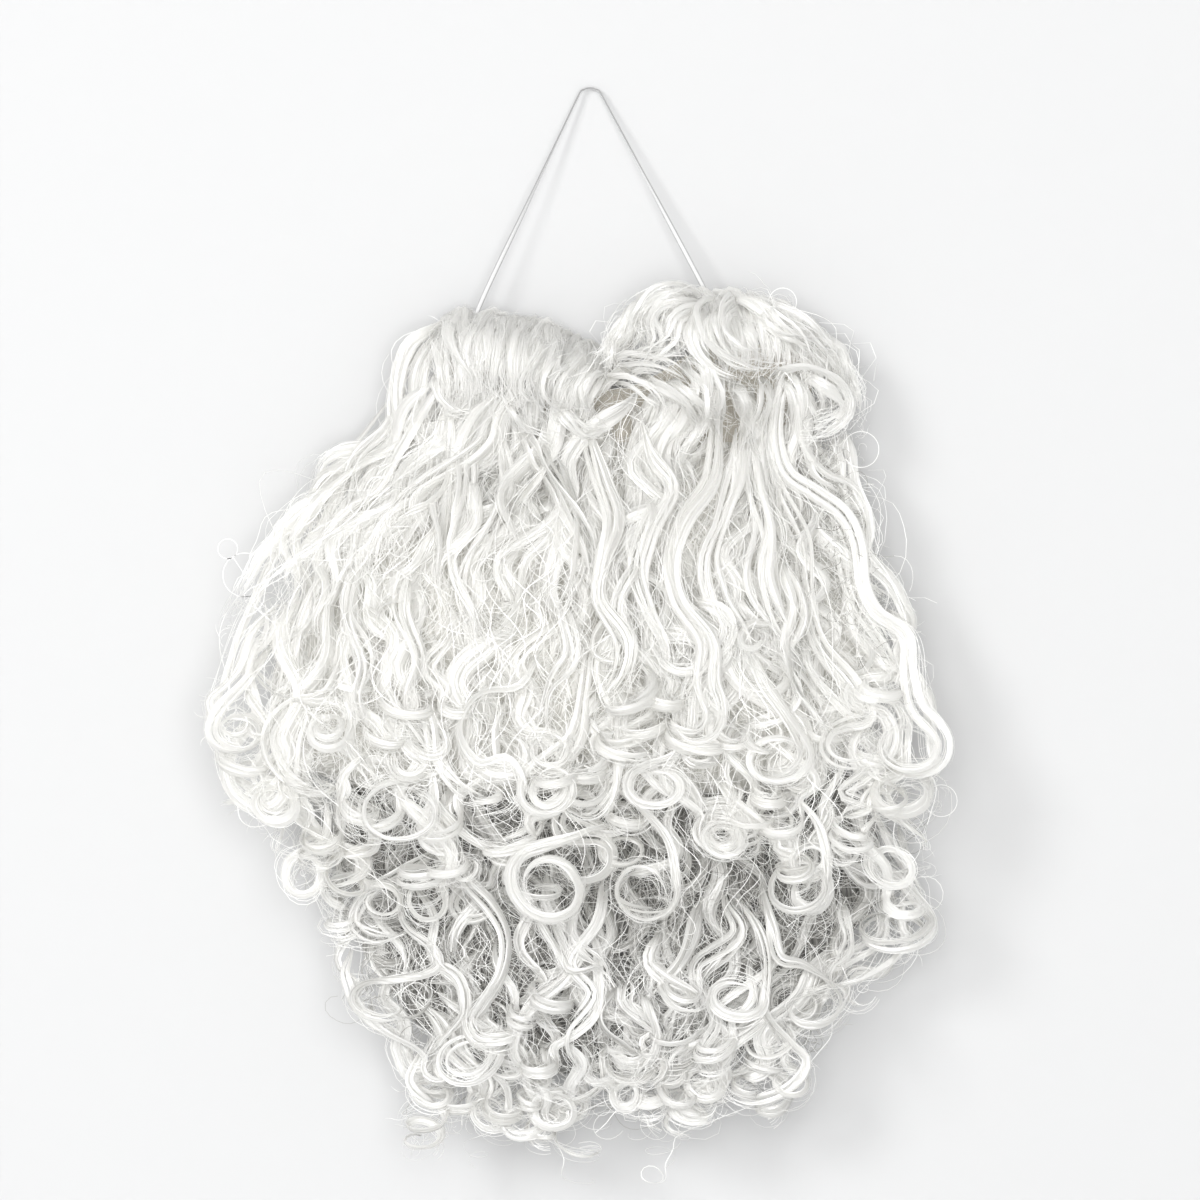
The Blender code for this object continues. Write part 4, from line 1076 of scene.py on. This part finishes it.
# The strap's route, with the part's own points: x, how far forward it has come
# from the peg (0) to its sewn end (1), and z
STRAP_ROUTE = (
    (-0.0532, 1.000, -0.1200),
    (-0.0505, 1.000, -0.1060),
    (-0.0462, 0.900, -0.0916),
    (-0.0255, 0.500, -0.0473),
    (-0.0049, 0.090, -0.0031),
    (-0.0029, 0.020, -0.0008),
    (0.0000, 0.000, 0.0000),
    (0.0028, 0.020, -0.0008),
    (0.0048, 0.090, -0.0029),
    (0.0268, 0.500, -0.0447),
    (0.0487, 0.900, -0.0865),
    (0.0546, 1.000, -0.1000),
    (0.0580, 1.000, -0.1140),
)


def strap_line(sewn):
    """Points on a smooth curve through the strap's route, with sewn as its ends' depth."""
    route = np.array(STRAP_ROUTE)
    route[:, 1] *= sewn + STRAP_THICK / 2
    route[:, 2] += STRAP_THICK / 2
    spans = np.linalg.norm(np.diff(route[:, (0, 2)], axis=0), axis=1)
    at = np.concatenate(([0.0], np.cumsum(spans ** 0.5)))
    last = len(route) - 1
    dense = []
    for i in range(last):
        before = max(i - 1, 0)
        after = min(i + 2, last)
        room = at[i + 1] - at[i]
        leave = (route[i + 1] - route[before]) / (at[i + 1] - at[before]) * room
        reach = (route[after] - route[i]) / (at[after] - at[i]) * room
        t = np.linspace(0.0, 1.0, 24, endpoint=False)[:, None]
        dense.append((2 * t ** 3 - 3 * t ** 2 + 1) * route[i] + (t ** 3 - 2 * t ** 2 + t) * leave
                     + (3 * t ** 2 - 2 * t ** 3) * route[i + 1] + (t ** 3 - t ** 2) * reach)
    dense.append(route[-1:])
    return evenly(np.concatenate(dense), STRAP_STEP)


def stage_sheet(name, corners, finish):
    mesh = bpy.data.meshes.new(name)
    mesh.from_pydata(corners, [], [(0, 1, 2, 3)])
    mesh.materials.append(finish)
    thing = bpy.data.objects.new(name, mesh)
    bpy.context.scene.collection.objects.link(thing)
    thing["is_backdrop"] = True


def wall():
    """The wall that it hangs on, and the floor far below."""
    finish = wall_material()
    low = [(-WALL_SIDE, WALL_BEHIND, FLOOR_Z), (WALL_SIDE, WALL_BEHIND, FLOOR_Z)]
    high = [(WALL_SIDE, WALL_BEHIND, WALL_TOP), (-WALL_SIDE, WALL_BEHIND, WALL_TOP)]
    near = [(-WALL_SIDE, FLOOR_FRONT, FLOOR_Z), (WALL_SIDE, FLOOR_FRONT, FLOOR_Z)]
    stage_sheet("wall", low + high, finish)
    stage_sheet("floor", near + low[::-1], finish)


def area_light(row, aim):
    light = bpy.data.lights.new(row.name, "AREA")
    light.shape = "DISK"
    light.size = row.size
    light.energy = row.power
    made = bpy.data.objects.new(row.name, light)
    made.location = row.place
    made.rotation_euler = (Vector(aim) - Vector(row.place)).to_track_quat("-Z", "Y").to_euler()
    bpy.context.scene.collection.objects.link(made)


def studio():
    """The wall, the lights and the camera."""
    wall()
    scene = bpy.context.scene
    world = bpy.data.worlds.new("studio")
    world.use_nodes = True
    sky = world.node_tree.nodes["Background"]
    sky.inputs["Color"].default_value = (1.0, 1.0, 1.0, 1.0)
    sky.inputs["Strength"].default_value = WORLD_LIGHT
    scene.world = world
    scene.view_settings.view_transform = "Standard"
    scene.view_settings.look = "None"
    middle = (hair_x(PHOTO_SIZE / 2), 0.0, hair_z(PHOTO_SIZE / 2))
    for row in LIGHTS:
        area_light(row, middle)
    camera = bpy.data.cameras.new("camera")
    camera.sensor_width = SENSOR
    camera.lens = SENSOR * (CAMERA_DISTANCE - SCALE_DEPTH) / (PHOTO_SIZE * PIXEL)
    camera.clip_end = CAMERA_END
    made = bpy.data.objects.new("camera", camera)
    made.location = (middle[0], -CAMERA_DISTANCE, middle[2])
    made.rotation_euler = (pi / 2, 0.0, 0.0)
    scene.collection.objects.link(made)
    scene.camera = made


def worn(made):
    """A finished piece, bound to the beard."""
    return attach(made, "root")


def strap(node):
    """The elastic as a flat band that twists between the peg and its sewn ends."""
    points = [node.matrix_world @ v.co for v in node.data.vertices if v.co.z < STRAP_SEWN]
    line = strap_line(-float(max(point.y for point in points)))
    n = len(line)
    share = np.linspace(-1.0, 1.0, n)
    along = np.gradient(line, axis=0)
    along /= np.linalg.norm(along, axis=1, keepdims=True)
    forward = np.tile(TOWARDS, (n, 1))
    forward -= along * np.sum(along * forward, axis=1, keepdims=True)
    forward /= np.linalg.norm(forward, axis=1, keepdims=True)
    sideways = np.cross(along, forward)
    twist = (pi / 2) * (1.0 - smooth((np.abs(share) - 0.10) / 0.70))
    broad = sideways * np.cos(twist)[:, None] + forward * np.sin(twist)[:, None]
    thin = forward * np.cos(twist)[:, None] - sideways * np.sin(twist)[:, None]
    half, deep = STRAP_WIDTH / 2, STRAP_THICK / 2
    grid = np.stack([line + broad * half * a + thin * deep * b for a, b in STRAP_SECTION], axis=1)
    # Its edges take painted shade
    shade = np.array([1.0 if abs(a) < 1.0 else 0.0 for a, b in STRAP_SECTION])
    piece = Piece("elastic_band")
    piece.add_grid(grid, True, (0.0, 1.0), shade[None, :])
    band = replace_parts(piece.made(elastic_material()), "elastic_strap")
    worn(band)
    path = line.copy()
    path[:, 1] *= -1.0


def moustache(side, routes, depths, finish, rng):
    """One side's hair rolled over its top edge, and the locks that stand out on it."""
    piece = Piece(f"moustache_{side}_hair")
    for roll in ROLLS:
        if roll.side == side:
            for route in rolled_routes(roll, rng):
                add_lock(piece, route, depths, rng, ROLLED, ROLL_ROOT)
    for route in routes:
        add_lock(piece, route, depths, rng, LIP, LIP_ROOT)
    worn(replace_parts(piece.made(finish), f"moustache_{side}"))


def main_locks(tier, side, routes, depths, finish, rng):
    """The locks that stand out on one side of a tier."""
    piece = Piece(f"{tier}_{side}_main_locks")
    for route in routes:
        if (route.path[0][0] < PEG_X) == (side == "left"):
            add_lock(piece, route, depths, rng, SATIN)
    made = piece.made(finish)
    if side == "left":
        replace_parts(made, f"{tier}_hair")
    worn(made)


def seeded_locks(name, bed, look, depths, finish, rng):
    piece = Piece(name)
    for route in seeded_routes(bed, rng):
        add_lock(piece, route, depths, rng, look)
    worn(piece.made(finish))


def tangled_fibres(depths, finish, rng):
    piece = Piece("tangled_fibres")
    for bed in VEILS:
        add_veil(piece, bed, depths[bed.tier], rng)
    for web in WEBS:
        add_web(piece, web, depths[web.tier], rng)
    worn(piece.made(finish))


def flyaway_fibres(depths, finish, rng):
    piece = Piece("flyaway_fibres")
    add_halo(piece, depths, rng)
    for loop in LOOPS:
        turned = np.linspace(0.0, 2.0 * pi * LOOP_TURNS, LOOP_POINTS)
        first = np.arctan2(loop.from_y - loop.y, loop.from_x - loop.x)
        px = np.concatenate(([loop.from_x], loop.x + loop.radius * np.cos(first + turned)))
        py = np.concatenate(([loop.from_y], loop.y + loop.radius * np.sin(first + turned)))
        points = np.stack((hair_x(px), np.full(len(px), LOOP_DEPTH), hair_z(py)), axis=1)
        points = evenly(points, LOOP_STEP)
        add_fibre(piece, points, np.full(len(points), FIBRE_WIDTH), 0.1, 3.0)
    worn(piece.made(finish))


def main():
    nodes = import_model()["nodes"]
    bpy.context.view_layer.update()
    rng = np.random.default_rng(SEED)
    hair = {
        "upper": hair_material("soft_white_hair", HAIR_LIGHT, SOFT_SHADE, SOFT_DEEP, SOFT_THROUGH),
        # The lower tier's hair is the same hair with darker stops, painted shade
        "lower": hair_material("shaded_curled_white_hair", HAIR_LIGHT, CURL_SHADE, CURL_DEEP, CURL_THROUGH),
    }
    solids = {
        "upper": ("upper_hair", "moustache_left", "moustache_right"),
        "lower": ("lower_hair",),
        "left": ("moustache_left",),
        "right": ("moustache_right",),
    }
    depths = {tier: Depths([nodes[name] for name in names], KEPT[tier]) for tier, names in solids.items()}

    for side, routes in (("left", LEFT_LIP), ("right", RIGHT_LIP)):
        moustache(side, routes, depths[side], hair["upper"], rng)
    for tier, routes in (("upper", UPPER), ("lower", LOWER)):
        for side in ("left", "right"):
            main_locks(tier, side, routes, depths[tier], hair[tier], rng)
    for i, (bed, look) in enumerate(zip(BEDS, BED_LOOKS)):
        seeded_locks(f"{bed.tier}_locks_{i + 1}", bed, look, depths[bed.tier], hair[bed.tier], rng)
    # The veils and nets take the lower tier's hair, which is darker with painted shade
    tangled_fibres(depths, hair["lower"], rng)
    flyaway_fibres(depths["upper"], hair["upper"], rng)
    for packed in PACKED:
        packed_hair(packed, depths[packed.tier])

    nodes["backing"].data.materials.clear()
    nodes["backing"].data.materials.append(cloth_material())
    strap(nodes["elastic_strap"])
    studio()


main()
